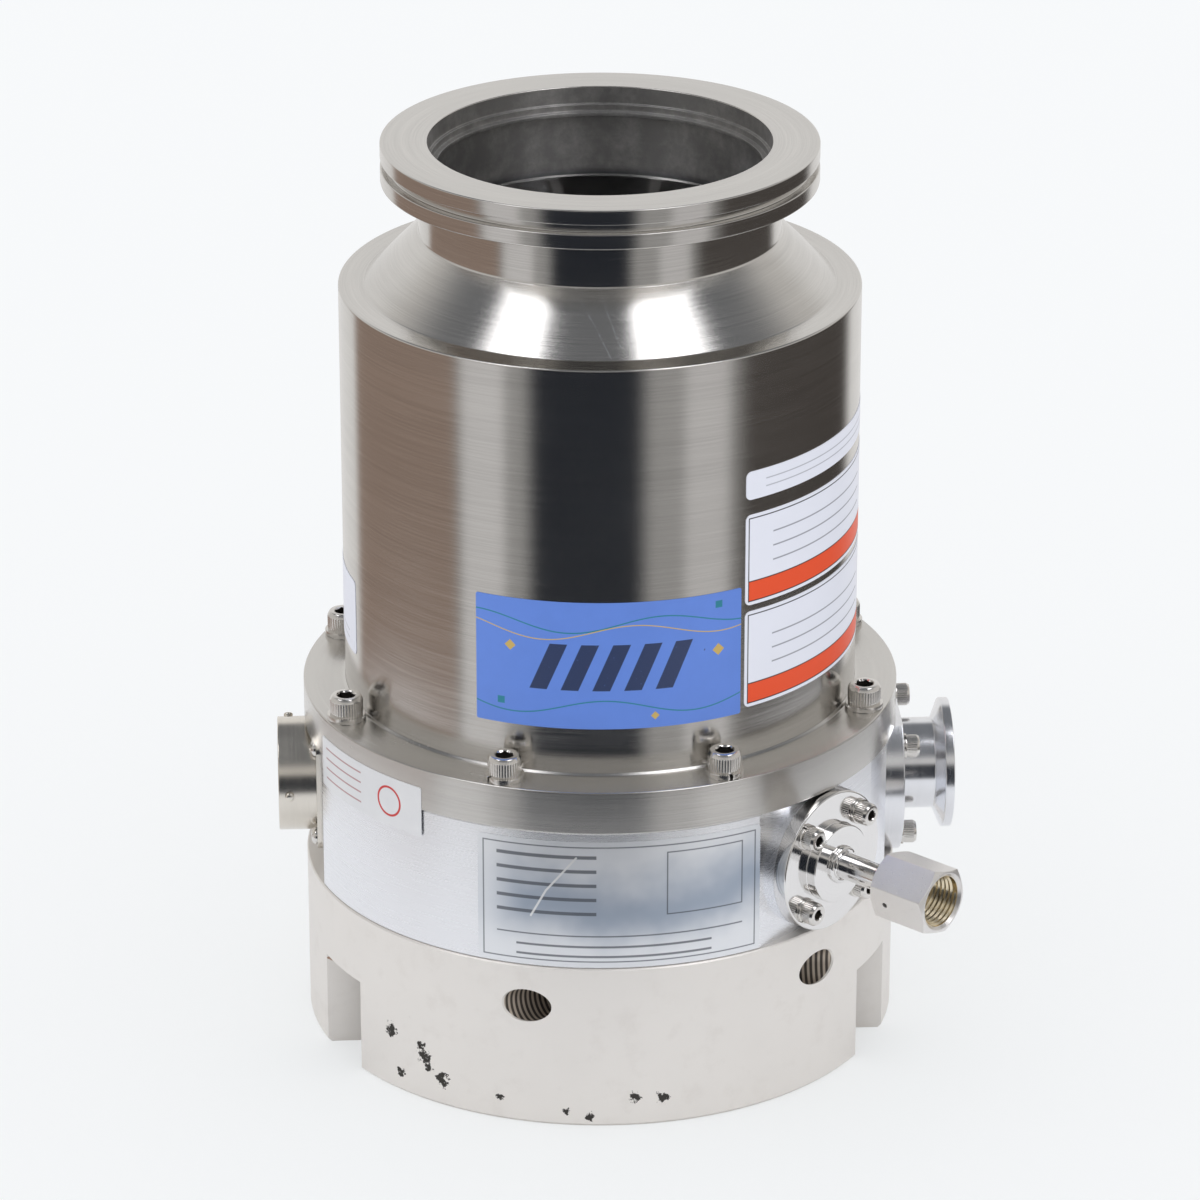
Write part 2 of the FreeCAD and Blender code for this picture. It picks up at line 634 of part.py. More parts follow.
def casing_flange():
    """Bolt flange of the casing, with the weld fillet around the foot of the barrel."""
    flange = turned(
        [
            (CASING_BORE, BODY_TOP),
            (FLANGE_RADIUS - EDGE_BREAK, BODY_TOP),
            (FLANGE_RADIUS, BODY_TOP + EDGE_BREAK),
            (FLANGE_RADIUS, FLANGE_TOP - EDGE_BREAK),
            (FLANGE_RADIUS - EDGE_BREAK, FLANGE_TOP),
            (CASING_RADIUS + CASING_FOOT_FILLET, FLANGE_TOP),
            (CASING_RADIUS, FLANGE_TOP + CASING_FOOT_FILLET),
            (CASING_RADIUS, FLANGE_TOP),
            (CASING_BORE, FLANGE_TOP),
        ]
    )
    hole = disc(CASING_BOLT_SIZE / 2 + HOLE_CLEARANCE, BODY_TOP - OVERSHOOT, FLANGE_TOP + OVERSHOOT)
    return without(flange, on_circle(hole, CASING_BOLT_CIRCLE, CASING_BOLT_COUNT, CASING_BOLT_START))


def casing_barrel():
    """Barrel welded on the bolt flange, up to the shoulder."""
    return turned(
        [
            (CASING_BORE, FLANGE_TOP),
            (CASING_RADIUS, FLANGE_TOP),
            (CASING_RADIUS, SHOULDER - EDGE_BREAK),
            (CASING_RADIUS - EDGE_BREAK, SHOULDER),
            (CASING_BORE, SHOULDER),
        ]
    )


def casing_head():
    """Roof, cone, neck and inlet flange in one piece, welded in the top of the barrel."""
    groove_high = INLET_FACE - INLET_TOP_RIM
    groove_low = groove_high - INLET_GROOVE_WIDTH
    groove_radius = INLET_FLANGE_RADIUS - INLET_GROOVE_DEPTH
    step_high = INLET_FACE - INLET_BORE_DEPTH
    lip_high = step_high - INLET_STEP_DEPTH
    lip_low = lip_high - INLET_LIP_THICKNESS
    inner_cone = CONE_RADIUS + SHOULDER - CONE_WALL * math.sqrt(2)
    throat_low = inner_cone - THROAT_RADIUS
    eased = THROAT_EASE / math.sqrt(2)
    return turned(
        [
            (CASING_BORE, ROOF),
            (CASING_BORE, SHOULDER),
            (CONE_RADIUS, SHOULDER),
            (NECK_RADIUS, NECK_BOTTOM),
            (NECK_RADIUS, INLET_UNDERSIDE),
            (INLET_FLANGE_RADIUS - EDGE_BREAK, INLET_UNDERSIDE),
            (INLET_FLANGE_RADIUS, INLET_UNDERSIDE + EDGE_BREAK),
            (INLET_FLANGE_RADIUS, groove_low),
            (groove_radius, groove_low),
            (groove_radius, groove_high),
            (INLET_FLANGE_RADIUS, groove_high),
            (INLET_FLANGE_RADIUS, INLET_FACE - EDGE_BREAK),
            (INLET_FLANGE_RADIUS - EDGE_BREAK, INLET_FACE),
            (INLET_BORE_RADIUS, INLET_FACE),
            (INLET_BORE_RADIUS, step_high),
            (INLET_STEP_RADIUS, step_high),
            (INLET_STEP_RADIUS, lip_high),
            (INLET_LIP_RADIUS, lip_high),
            (INLET_LIP_RADIUS, lip_low),
            (THROAT_RADIUS, lip_low),
            (THROAT_RADIUS, throat_low + THROAT_EASE),
            (THROAT_RADIUS + eased, throat_low - eased),
            (inner_cone - ROOF, ROOF),
        ]
    )


def casing_bolts():
    """Bolts through the casing flange into the pump body."""
    length = CASING_FLANGE_THICKNESS + WASHER_THICKNESS + CASING_BOLT_REACH
    bolt = socket_screw(CASING_BOLT_SIZE, CASING_BOLT_HEAD_RADIUS, CASING_BOLT_HEAD_HEIGHT, length)
    bolt = moved(bolt, 0, 0, FLANGE_TOP + WASHER_THICKNESS)
    return Part.makeCompound(on_circle(bolt, CASING_BOLT_CIRCLE, CASING_BOLT_COUNT, CASING_BOLT_START))


def casing_spring_washers():
    """Spring washers under the casing bolts."""
    washer = spring_washer(CASING_BOLT_SIZE / 2 + HOLE_CLEARANCE, WASHER_WIDTH, WASHER_THICKNESS)
    washer = moved(washer, 0, 0, FLANGE_TOP)
    return Part.makeCompound(on_circle(washer, CASING_BOLT_CIRCLE, CASING_BOLT_COUNT, CASING_BOLT_START))


def casing_o_ring():
    """Seal between casing and pump body."""
    inner = CASING_BORE + O_RING_MARGIN
    return ring(inner + O_RING_WIDTH, inner, BODY_TOP - O_RING_HEIGHT, BODY_TOP)


def o_ring_groove(inner, face, depth_sign):
    """Groove for a seal ring in a face normal to Z. The depth sign is -1 below the face, +1 above it."""
    depth = O_RING_HEIGHT + O_RING_ROOM
    low, high = sorted([face - depth_sign * OVERSHOOT, face + depth_sign * depth])
    return ring(inner + O_RING_WIDTH + O_RING_ROOM, inner - O_RING_ROOM, low, high)


def side_slab(azimuth, flat):
    """Block that mills a flat on the side of the pump body, over its full height."""
    depth = BODY_RADIUS - flat + OVERSHOOT
    slab = Part.makeBox(BODY_RADIUS * 2, depth, BODY_HEIGHT + OVERSHOOT * 2)
    slab.translate(Vector(-BODY_RADIUS, -(flat + depth), BASE_TOP - OVERSHOOT))
    return at_azimuth(slab, azimuth)


def port_screw_holes(places, radius, low, high):
    """Holes along Z at (x, y) places."""
    return [moved(disc(radius, low, high), x, y, 0) for x, y in places]


def square_places(spacing):
    """Corners of a square pattern."""
    half = spacing / 2
    return [(-half, -half), (half, -half), (half, half), (-half, half)]


def circle_places(radius, count, start):
    """Points on a circle, with angles from the first axis."""
    places = []
    for step in range(count):
        angle = math.radians(start + FULL_TURN * step / count)
        places.append((radius * math.cos(angle), radius * math.sin(angle)))
    return places


EXHAUST_SCREWS = circle_places(EXHAUST_SCREW_CIRCLE, EXHAUST_SCREW_COUNT, EXHAUST_SCREW_START)
PURGE_SCREWS = square_places(PURGE_SCREW_SPACING)
CONNECTOR_SCREWS = square_places(CONNECTOR_SCREW_SPACING)


def pump_body():
    """Polished body with the exhaust chamber, three flats and their bores."""
    body = turned(
        [
            (BORE_RADIUS, BASE_TOP),
            (BODY_RADIUS - EDGE_BREAK, BASE_TOP),
            (BODY_RADIUS, BASE_TOP + EDGE_BREAK),
            (BODY_RADIUS, BODY_TOP - EDGE_BREAK),
            (BODY_RADIUS - EDGE_BREAK, BODY_TOP),
            (CHAMBER_OUTER_RADIUS, BODY_TOP),
            (CHAMBER_OUTER_RADIUS, CHAMBER_FLOOR),
            (BORE_RADIUS, CHAMBER_FLOOR),
        ]
    )
    flats = [
        side_slab(EXHAUST_AZIMUTH, EXHAUST_FLAT),
        side_slab(PURGE_AZIMUTH, PURGE_FLAT),
        side_slab(CONNECTOR_AZIMUTH, CONNECTOR_FLAT),
    ]
    body = without(body, flats)
    inside = (CHAMBER_OUTER_RADIUS + PURGE_FLAT) / 2
    purge_boss = disc(PURGE_DISC_RADIUS, inside, PURGE_DISC_BACK)
    body = joined(body, [at_port(purge_boss, PURGE_AZIMUTH, PURGE_HEIGHT)])
    start = CHAMBER_OUTER_RADIUS - OVERSHOOT * 2
    screw_hole = PORT_SCREW_SIZE / 2 + THREAD_FIT
    screw_room = PORT_SCREW_REACH + OVERSHOOT
    exhaust_cuts = [disc(EXHAUST_BORE_RADIUS - EXHAUST_DUCT_STEP, start, EXHAUST_FLAT + OVERSHOOT)]
    exhaust_room = EXHAUST_SCREW_REACH + DRILL_ROOM
    exhaust_cuts += port_screw_holes(
        EXHAUST_SCREWS, screw_hole, EXHAUST_FLAT - exhaust_room, EXHAUST_FLAT + OVERSHOOT
    )
    purge_cuts = [disc(PURGE_TUBE_BORE, start, PURGE_DISC_BACK + OVERSHOOT)]
    purge_cuts += port_screw_holes(
        PURGE_SCREWS, screw_hole, PURGE_DISC_BACK - screw_room, PURGE_DISC_BACK + DRILL_ROOM
    )
    insert_hole = CONNECTOR_BARREL_RADIUS - CONNECTOR_BARREL_WALL + HOLE_CLEARANCE
    connector_cuts = [disc(insert_hole, start, CONNECTOR_FLAT + OVERSHOOT)]
    connector_hole = CONNECTOR_SCREW_SIZE / 2 + THREAD_FIT
    connector_room = CONNECTOR_SCREW_REACH + OVERSHOOT
    connector_cuts += port_screw_holes(
        CONNECTOR_SCREWS, connector_hole, CONNECTOR_FLAT - connector_room, CONNECTOR_FLAT + OVERSHOOT
    )
    cuts = [at_port(cut, EXHAUST_AZIMUTH, EXHAUST_HEIGHT) for cut in exhaust_cuts]
    cuts += [at_port(cut, PURGE_AZIMUTH, PURGE_HEIGHT) for cut in purge_cuts]
    cuts += [at_port(cut, CONNECTOR_AZIMUTH, CONNECTOR_HEIGHT) for cut in connector_cuts]
    casing_hole = disc(
        CASING_BOLT_SIZE / 2 + THREAD_FIT, BODY_TOP - CASING_BOLT_REACH - OVERSHOOT, BODY_TOP + OVERSHOOT
    )
    cuts += on_circle(casing_hole, CASING_BOLT_CIRCLE, CASING_BOLT_COUNT, CASING_BOLT_START)
    column_low = CHAMBER_FLOOR - COLUMN_BOLT_REACH - DRILL_ROOM
    column_hole = disc(COLUMN_BOLT_SIZE / 2 + THREAD_FIT, column_low, CHAMBER_FLOOR + OVERSHOOT)
    cuts += on_circle(column_hole, COLUMN_BOLT_CIRCLE, COLUMN_BOLT_COUNT)
    base_high = BASE_TOP + BASE_BOLT_REACH + DRILL_ROOM
    base_hole = disc(BASE_BOLT_SIZE / 2 + THREAD_FIT, BASE_TOP - OVERSHOOT, base_high)
    base_hole = moved(base_hole, 0, -BASE_BOLT_CIRCLE, 0)
    cuts += [at_azimuth(base_hole, azimuth) for azimuth in BASE_BOLT_AZIMUTHS]
    cuts.append(o_ring_groove(CASING_BORE + O_RING_MARGIN, BODY_TOP, -1))
    return without(body, cuts)


def base_ring():
    """Round base with a channel across its underside, two water bores and foot holes."""
    base = turned(
        [
            (BORE_RADIUS, BASE_TOP),
            (BASE_RADIUS - EDGE_BREAK, BASE_TOP),
            (BASE_RADIUS, BASE_TOP - EDGE_BREAK),
            (BASE_RADIUS, BASE_BOTTOM_CHAMFER),
            (BASE_RADIUS - BASE_BOTTOM_CHAMFER, 0),
            (COVER_RADIUS + HOLE_CLEARANCE, 0),
            (COVER_RADIUS + HOLE_CLEARANCE, COVER_TOP),
            (BORE_RADIUS, COVER_TOP),
        ]
    )
    span = BASE_RADIUS + OVERSHOOT
    channel = Part.makeBox(span * 2, CHANNEL_NEAR - CHANNEL_FAR, CHANNEL_HEIGHT + OVERSHOOT)
    channel.translate(Vector(-span, -CHANNEL_NEAR, -OVERSHOOT))
    cuts = [channel]
    for side in (-1, 1):
        pocket = Part.makeBox(POCKET_OUTER - POCKET_INNER, POCKET_DEPTH + OVERSHOOT, POCKET_HEIGHT)
        pocket.translate(Vector(POCKET_INNER, -CHANNEL_FAR - OVERSHOOT, CHANNEL_HEIGHT - POCKET_HEIGHT))
        if side < 0:
            pocket = pocket.mirror(ORIGIN, Vector(1, 0, 0))
        cuts.append(pocket)
    for azimuth, heading, length in zip(WATER_PORT_AZIMUTHS, WATER_PORT_HEADINGS, WATER_BORE_LENGTHS):
        mouth = Vector(
            BASE_RADIUS * math.sin(math.radians(azimuth)),
            -BASE_RADIUS * math.cos(math.radians(azimuth)),
            WATER_PORT_HEIGHT,
        )
        outward = Vector(math.sin(math.radians(heading)), -math.cos(math.radians(heading)), 0)
        outside = mouth + outward * WATER_PORT_THREAD
        cuts.append(Part.makeCylinder(WATER_PORT_RADIUS, WATER_PORT_THREAD * 2, outside, outward * -1))
        cuts.append(Part.makeCylinder(WATER_BORE_RADIUS, length + WATER_PORT_THREAD, outside, outward * -1))
    foot_hole = disc(FOOT_HOLE_RADIUS, -OVERSHOOT, FOOT_HOLE_DEPTH)
    cuts += on_circle(foot_hole, FOOT_HOLE_CIRCLE, FOOT_HOLE_COUNT, FOOT_HOLE_START)
    well = disc(BASE_BOLT_HEAD_RADIUS + HOLE_CLEARANCE, -OVERSHOOT, BASE_BOLT_SEAT)
    hole = disc(BASE_BOLT_SIZE / 2 + HOLE_CLEARANCE, BASE_BOLT_SEAT - OVERSHOOT, BASE_TOP + OVERSHOOT)
    bolt_cut = moved(well.fuse(hole), 0, -BASE_BOLT_CIRCLE, 0)
    cuts += [at_azimuth(bolt_cut, azimuth) for azimuth in BASE_BOLT_AZIMUTHS]
    cover_high = COVER_TOP + COVER_SCREW_REACH + DRILL_ROOM
    cover_hole = disc(COVER_SCREW_SIZE / 2 + THREAD_FIT, COVER_TOP - OVERSHOOT, cover_high)
    cuts += on_circle(cover_hole, COVER_SCREW_CIRCLE, COVER_SCREW_COUNT)
    return without(base, cuts)


def base_bolts():
    """Bolts from below that hold the base on the pump body."""
    length = BASE_TOP - BASE_BOLT_SEAT + BASE_BOLT_REACH
    bolt = socket_screw(BASE_BOLT_SIZE, BASE_BOLT_HEAD_RADIUS, BASE_BOLT_HEAD_HEIGHT, length)
    bolt.rotate(ORIGIN, Vector(1, 0, 0), QUARTER_TURN * 2)
    bolt.translate(Vector(0, -BASE_BOLT_CIRCLE, BASE_BOLT_SEAT))
    return Part.makeCompound([at_azimuth(bolt, azimuth) for azimuth in BASE_BOLT_AZIMUTHS])


def bottom_cover():
    """Cover under the base, with the seat of the lower touchdown bearing."""
    boss_top = COVER_TOP + COVER_BOSS_HEIGHT
    seat = boss_top - LOWER_BEARING_WIDTH
    well = disc(LOWER_BEARING_RADIUS - BEARING_LIP, seat - COVER_WELL_DEPTH, boss_top)
    plate = disc(COVER_RADIUS, COVER_RECESS, COVER_TOP)
    boss = disc(COVER_BOSS_RADIUS, COVER_TOP - DRILL_ROOM, boss_top)
    screw_hole = disc(COVER_SCREW_SIZE / 2 + HOLE_CLEARANCE, COVER_RECESS - OVERSHOOT, COVER_TOP + OVERSHOOT)
    cuts = [well, disc(LOWER_BEARING_RADIUS + RUNNING_FIT, seat, boss_top + OVERSHOOT)]
    cuts += on_circle(screw_hole, COVER_SCREW_CIRCLE, COVER_SCREW_COUNT)
    cuts.append(o_ring_groove(COVER_BOSS_RADIUS + O_RING_MARGIN, COVER_TOP, -1))
    return without(plate.fuse(boss), cuts)


def bottom_cover_screws():
    """Screws of the bottom cover, heads down."""
    length = COVER_THICKNESS + COVER_SCREW_REACH
    screw = socket_screw(COVER_SCREW_SIZE, COVER_SCREW_HEAD_RADIUS, COVER_SCREW_HEAD_HEIGHT, length)
    screw.rotate(ORIGIN, Vector(1, 0, 0), QUARTER_TURN * 2)
    screw.translate(Vector(0, 0, COVER_RECESS))
    return Part.makeCompound(on_circle(screw, COVER_SCREW_CIRCLE, COVER_SCREW_COUNT))


def bottom_cover_o_ring():
    """Seal of the bottom cover."""
    inner = COVER_BOSS_RADIUS + O_RING_MARGIN
    return ring(inner + O_RING_WIDTH, inner, COVER_TOP - O_RING_HEIGHT, COVER_TOP)


def stator_column():
    """Column inside the rotor bell, with the seat of the upper touchdown bearing."""
    seat = COLUMN_TOP - UPPER_BEARING_WIDTH
    column = turned(
        [
            (COLUMN_BORE, CHAMBER_FLOOR),
            (COLUMN_FLANGE_RADIUS, CHAMBER_FLOOR),
            (COLUMN_FLANGE_RADIUS, CHAMBER_FLOOR + COLUMN_FLANGE_THICKNESS),
            (COLUMN_RADIUS, CHAMBER_FLOOR + COLUMN_FLANGE_THICKNESS),
            (COLUMN_RADIUS, COLUMN_TOP),
            (UPPER_BEARING_RADIUS + RUNNING_FIT, COLUMN_TOP),
            (UPPER_BEARING_RADIUS + RUNNING_FIT, seat),
            (UPPER_BEARING_RADIUS - BEARING_LIP, seat),
            (UPPER_BEARING_RADIUS - BEARING_LIP, COLUMN_TOP - COLUMN_TOP_PLATE),
            (COLUMN_BORE, COLUMN_TOP - COLUMN_TOP_PLATE),
        ]
    )
    top = CHAMBER_FLOOR + COLUMN_FLANGE_THICKNESS + OVERSHOOT
    hole = disc(COLUMN_BOLT_SIZE / 2 + HOLE_CLEARANCE, CHAMBER_FLOOR - OVERSHOOT, top)
    return without(column, on_circle(hole, COLUMN_BOLT_CIRCLE, COLUMN_BOLT_COUNT))


def column_bolts():
    """Bolts of the column's flange."""
    length = COLUMN_FLANGE_THICKNESS + COLUMN_BOLT_REACH
    bolt = socket_screw(COLUMN_BOLT_SIZE, PORT_SCREW_HEAD_RADIUS, PORT_SCREW_HEAD_HEIGHT, length)
    bolt = moved(bolt, 0, 0, CHAMBER_FLOOR + COLUMN_FLANGE_THICKNESS)
    return Part.makeCompound(on_circle(bolt, COLUMN_BOLT_CIRCLE, COLUMN_BOLT_COUNT))


def toothed_core(bore, teeth, tooth_width, low, length):
    """Laminated core inside the column: a yoke with teeth pointing at the shaft."""
    outer = COLUMN_BORE - SEAT_FIT
    yoke = ring(outer, outer - CORE_YOKE, low, low + length)
    tooth = Part.makeBox(tooth_width, outer - CORE_YOKE / 2 - bore + OVERSHOOT, length)
    tooth.translate(Vector(-tooth_width / 2, -(outer - CORE_YOKE / 2), low))
    core = joined(yoke, around(tooth, teeth))
    return core.cut(disc(bore, low - OVERSHOOT, low + length + OVERSHOOT))


def tooth_coils(bore, teeth, tooth_width, low, length):
    """Coil around each tooth of a core."""
    width = tooth_width + (COIL_THICKNESS + COIL_CLEARANCE) * 2
    outer = math.sqrt((COLUMN_BORE - SEAT_FIT - CORE_YOKE - COIL_CLEARANCE) ** 2 - (width / 2) ** 2)
    inner = bore + COIL_SETBACK
    block = Part.makeBox(width, outer - inner, length + (COIL_THICKNESS + COIL_CLEARANCE) * 2)
    block.translate(Vector(-width / 2, -outer, low - COIL_THICKNESS - COIL_CLEARANCE))
    window_width = tooth_width + COIL_CLEARANCE * 2
    window = Part.makeBox(window_width, outer, length + COIL_CLEARANCE * 2)
    window.translate(Vector(-window_width / 2, -outer - OVERSHOOT, low - COIL_CLEARANCE))
    return Part.makeCompound(around(block.cut(window), teeth))


def motor_windings():
    """Two end turns joined by the bars in the slots."""
    bore = SHAFT_RADIUS + MOTOR_MAGNET_WALL + MOTOR_GAP
    outer = COLUMN_BORE - SEAT_FIT - CORE_YOKE - COIL_CLEARANCE
    inner = bore + COIL_SETBACK
    high = MOTOR_HEIGHT + MOTOR_LENGTH
    lower = ring(outer, inner, MOTOR_HEIGHT - WINDING_OVERHANG, MOTOR_HEIGHT - COIL_CLEARANCE)
    upper = ring(outer, inner, high + COIL_CLEARANCE, high + WINDING_OVERHANG)
    bar = Part.makeBox(WINDING_BAR, outer - inner - DRILL_ROOM, MOTOR_LENGTH + WINDING_OVERHANG)
    bar_low = MOTOR_HEIGHT - WINDING_OVERHANG / 2
    bar.translate(Vector(-WINDING_BAR / 2, -(outer - COIL_CLEARANCE * 2), bar_low))
    bars = around(bar, MOTOR_TEETH, FULL_TURN / MOTOR_TEETH / 2)
    return joined(lower, [upper] + bars)


def axial_magnet(low, coil_up):
    """Ring magnet body with a groove for its coil, facing the thrust disc."""
    high = low + AXIAL_MAGNET_THICKNESS
    body = ring(BORE_RADIUS - SEAT_FIT, AXIAL_MAGNET_BORE, low, high)
    coil_low = high - AXIAL_COIL_DEPTH if coil_up else low - OVERSHOOT
    coil_high = high + OVERSHOOT if coil_up else low + AXIAL_COIL_DEPTH
    groove_outer = AXIAL_COIL_OUTER + COIL_CLEARANCE
    groove_inner = AXIAL_COIL_INNER - COIL_CLEARANCE
    return body.cut(ring(groove_outer, groove_inner, coil_low, coil_high))


def axial_magnet_coils():
    """Coils in the grooves of both axial magnets."""
    high = LOWER_AXIAL + AXIAL_MAGNET_THICKNESS
    spans = [
        (high - AXIAL_COIL_DEPTH, high - COIL_CLEARANCE),
        (UPPER_AXIAL + COIL_CLEARANCE, UPPER_AXIAL + AXIAL_COIL_DEPTH),
    ]
    return Part.makeCompound([ring(AXIAL_COIL_OUTER, AXIAL_COIL_INNER, low, top) for low, top in spans])


def position_sensor_ring():
    """Sensor ring above the upper radial magnet."""
    outer = COLUMN_BORE - SEAT_FIT
    return ring(outer, SHAFT_RADIUS + SENSOR_GAP, SENSOR_HEIGHT, SENSOR_HEIGHT + SENSOR_THICKNESS)


def touchdown_bearing(bore, outer, width, low):
    """Outer ring, balls and inner ring of a touchdown bearing."""
    pitch = (bore + outer) / 2
    ball = (outer - bore) * BALL_SHARE
    middle = low + width / 2
    shoulder = ball * RACE_SHOULDER
    depth = ball + BALL_CLEARANCE
    rings = []
    for wall, side in ((outer, 1), (bore, -1)):
        profile = [
            (wall, low),
            (pitch + side * shoulder, low),
            (pitch + side * shoulder, middle - depth),
            (pitch + side * depth, middle - shoulder),
            (pitch + side * depth, middle + shoulder),
            (pitch + side * shoulder, middle + depth),
            (pitch + side * shoulder, low + width),
            (wall, low + width),
        ]
        rings.append(turned(profile))
    one_ball = Part.makeSphere(ball, Vector(0, -pitch, middle))
    return rings[0], Part.makeCompound(around(one_ball, BALL_COUNT)), rings[1]


def exhaust_port():
    """Disc, pipe and small flange of the exhaust, in one piece. The disc is cut flat above and below."""
    pipe = EXHAUST_BORE_RADIUS + EXHAUST_PIPE_WALL
    pipe_end = EXHAUST_DISC_FACE + EXHAUST_PIPE_LENGTH
    rim_start = pipe_end + EXHAUST_FLANGE_TAPER
    face = rim_start + EXHAUST_FLANGE_RIM
    port = turned(
        [
            (EXHAUST_BORE_RADIUS, EXHAUST_FLAT),
            (EXHAUST_DISC_RADIUS, EXHAUST_FLAT),
            (EXHAUST_DISC_RADIUS, EXHAUST_DISC_FACE - EDGE_BREAK),
            (EXHAUST_DISC_RADIUS - EDGE_BREAK, EXHAUST_DISC_FACE),
            (pipe, EXHAUST_DISC_FACE),
            (pipe, pipe_end),
            (EXHAUST_FLANGE_RADIUS, rim_start),
            (EXHAUST_FLANGE_RADIUS, face),
            (EXHAUST_BORE_RADIUS, face),
        ]
    )
    radius = PORT_SCREW_SIZE / 2 + HOLE_CLEARANCE
    low = EXHAUST_FLAT - OVERSHOOT
    cuts = port_screw_holes(EXHAUST_SCREWS, radius, low, EXHAUST_DISC_FACE + OVERSHOOT)
    cuts.append(o_ring_groove(EXHAUST_BORE_RADIUS + O_RING_MARGIN, EXHAUST_FLAT, 1))
    limits = (
        BODY_TOP - EXHAUST_DISC_TRIM - EXHAUST_HEIGHT,
        BASE_TOP + EXHAUST_DISC_TRIM - EXHAUST_HEIGHT - EXHAUST_DISC_RADIUS,
    )
    for limit in limits:
        slab = Part.makeBox(EXHAUST_DISC_RADIUS * 2, EXHAUST_DISC_RADIUS, EXHAUST_DISC_THICKNESS + OVERSHOOT)
        cuts.append(moved(slab, -EXHAUST_DISC_RADIUS, limit, low))
    return at_port(without(port, cuts), EXHAUST_AZIMUTH, EXHAUST_HEIGHT)


def seal_ring(inner, back, azimuth, height):
    """Seal ring in the back face of a port's disc."""
    return at_port(ring(inner + O_RING_WIDTH, inner, back, back + O_RING_HEIGHT), azimuth, height)


def port_screws(places, seat, reach, azimuth, height):
    """Socket screws of a port, at (x, y) places around its axis."""
    screw = socket_screw(PORT_SCREW_SIZE, PORT_SCREW_HEAD_RADIUS, PORT_SCREW_HEAD_HEIGHT, reach)
    return [at_port(moved(screw, x, y, seat), azimuth, height) for x, y in places]


def port_washers(places, seat, azimuth, height):
    """Spring washers under the screws of a port."""
    washer = spring_washer(PORT_SCREW_SIZE / 2 + HOLE_CLEARANCE, PORT_WASHER_WIDTH, PORT_WASHER_THICKNESS)
    return [at_port(moved(washer, x, y, seat), azimuth, height) for x, y in places]


def exhaust_port_screws():
    """Screws of the exhaust port with their spring washers."""
    seat = EXHAUST_DISC_FACE + PORT_WASHER_THICKNESS
    reach = PORT_WASHER_THICKNESS + EXHAUST_DISC_THICKNESS + EXHAUST_SCREW_REACH
    screws = port_screws(EXHAUST_SCREWS, seat, reach, EXHAUST_AZIMUTH, EXHAUST_HEIGHT)
    washers = port_washers(EXHAUST_SCREWS, EXHAUST_DISC_FACE, EXHAUST_AZIMUTH, EXHAUST_HEIGHT)
    return Part.makeCompound(screws + washers)


def purge_flange_screws():
    """Screws of the purge flange."""
    seat = PURGE_DISC_FACE + PORT_WASHER_THICKNESS
    reach = PORT_WASHER_THICKNESS + PURGE_DISC_THICKNESS + PORT_SCREW_REACH
    return Part.makeCompound(port_screws(PURGE_SCREWS, seat, reach, PURGE_AZIMUTH, PURGE_HEIGHT))


def purge_flange():
    """Disc with its hub, welded tube and gland, in one piece."""
    hub_top = PURGE_DISC_FACE + PURGE_HUB_HEIGHT
    weld_top = hub_top + PURGE_WELD_HEIGHT
    gland_start = PURGE_DISC_FACE + PURGE_TUBE_LENGTH
    gland_end = gland_start + PURGE_GLAND_LENGTH
    flange = turned(
        [
            (PURGE_TUBE_BORE, PURGE_DISC_BACK),
            (PURGE_DISC_RADIUS, PURGE_DISC_BACK),
            (PURGE_DISC_RADIUS, PURGE_DISC_FACE - EDGE_BREAK),
            (PURGE_DISC_RADIUS - EDGE_BREAK, PURGE_DISC_FACE),
            (PURGE_HUB_RADIUS, PURGE_DISC_FACE),
            (PURGE_HUB_RADIUS, hub_top - EDGE_BREAK),
            (PURGE_HUB_RADIUS - EDGE_BREAK, hub_top),
            (PURGE_WELD_RADIUS, hub_top),
            (PURGE_TUBE_RADIUS, weld_top),
            (PURGE_TUBE_RADIUS, gland_start),
            (PURGE_GLAND_RADIUS, gland_start),
            (PURGE_GLAND_RADIUS, gland_end),
            (PURGE_TUBE_BORE, gland_end),
        ]
    )
    radius = PORT_SCREW_SIZE / 2 + HOLE_CLEARANCE
    low = PURGE_DISC_BACK - OVERSHOOT
    cuts = port_screw_holes(PURGE_SCREWS, radius, low, PURGE_DISC_FACE + OVERSHOOT)
    cuts.append(o_ring_groove(PURGE_TUBE_BORE + O_RING_MARGIN, PURGE_DISC_BACK, 1))
    return at_port(without(flange, cuts), PURGE_AZIMUTH, PURGE_HEIGHT)


def purge_spring_washers():
    """Spring washers under the purge screws."""
    return Part.makeCompound(port_washers(PURGE_SCREWS, PURGE_DISC_FACE, PURGE_AZIMUTH, PURGE_HEIGHT))


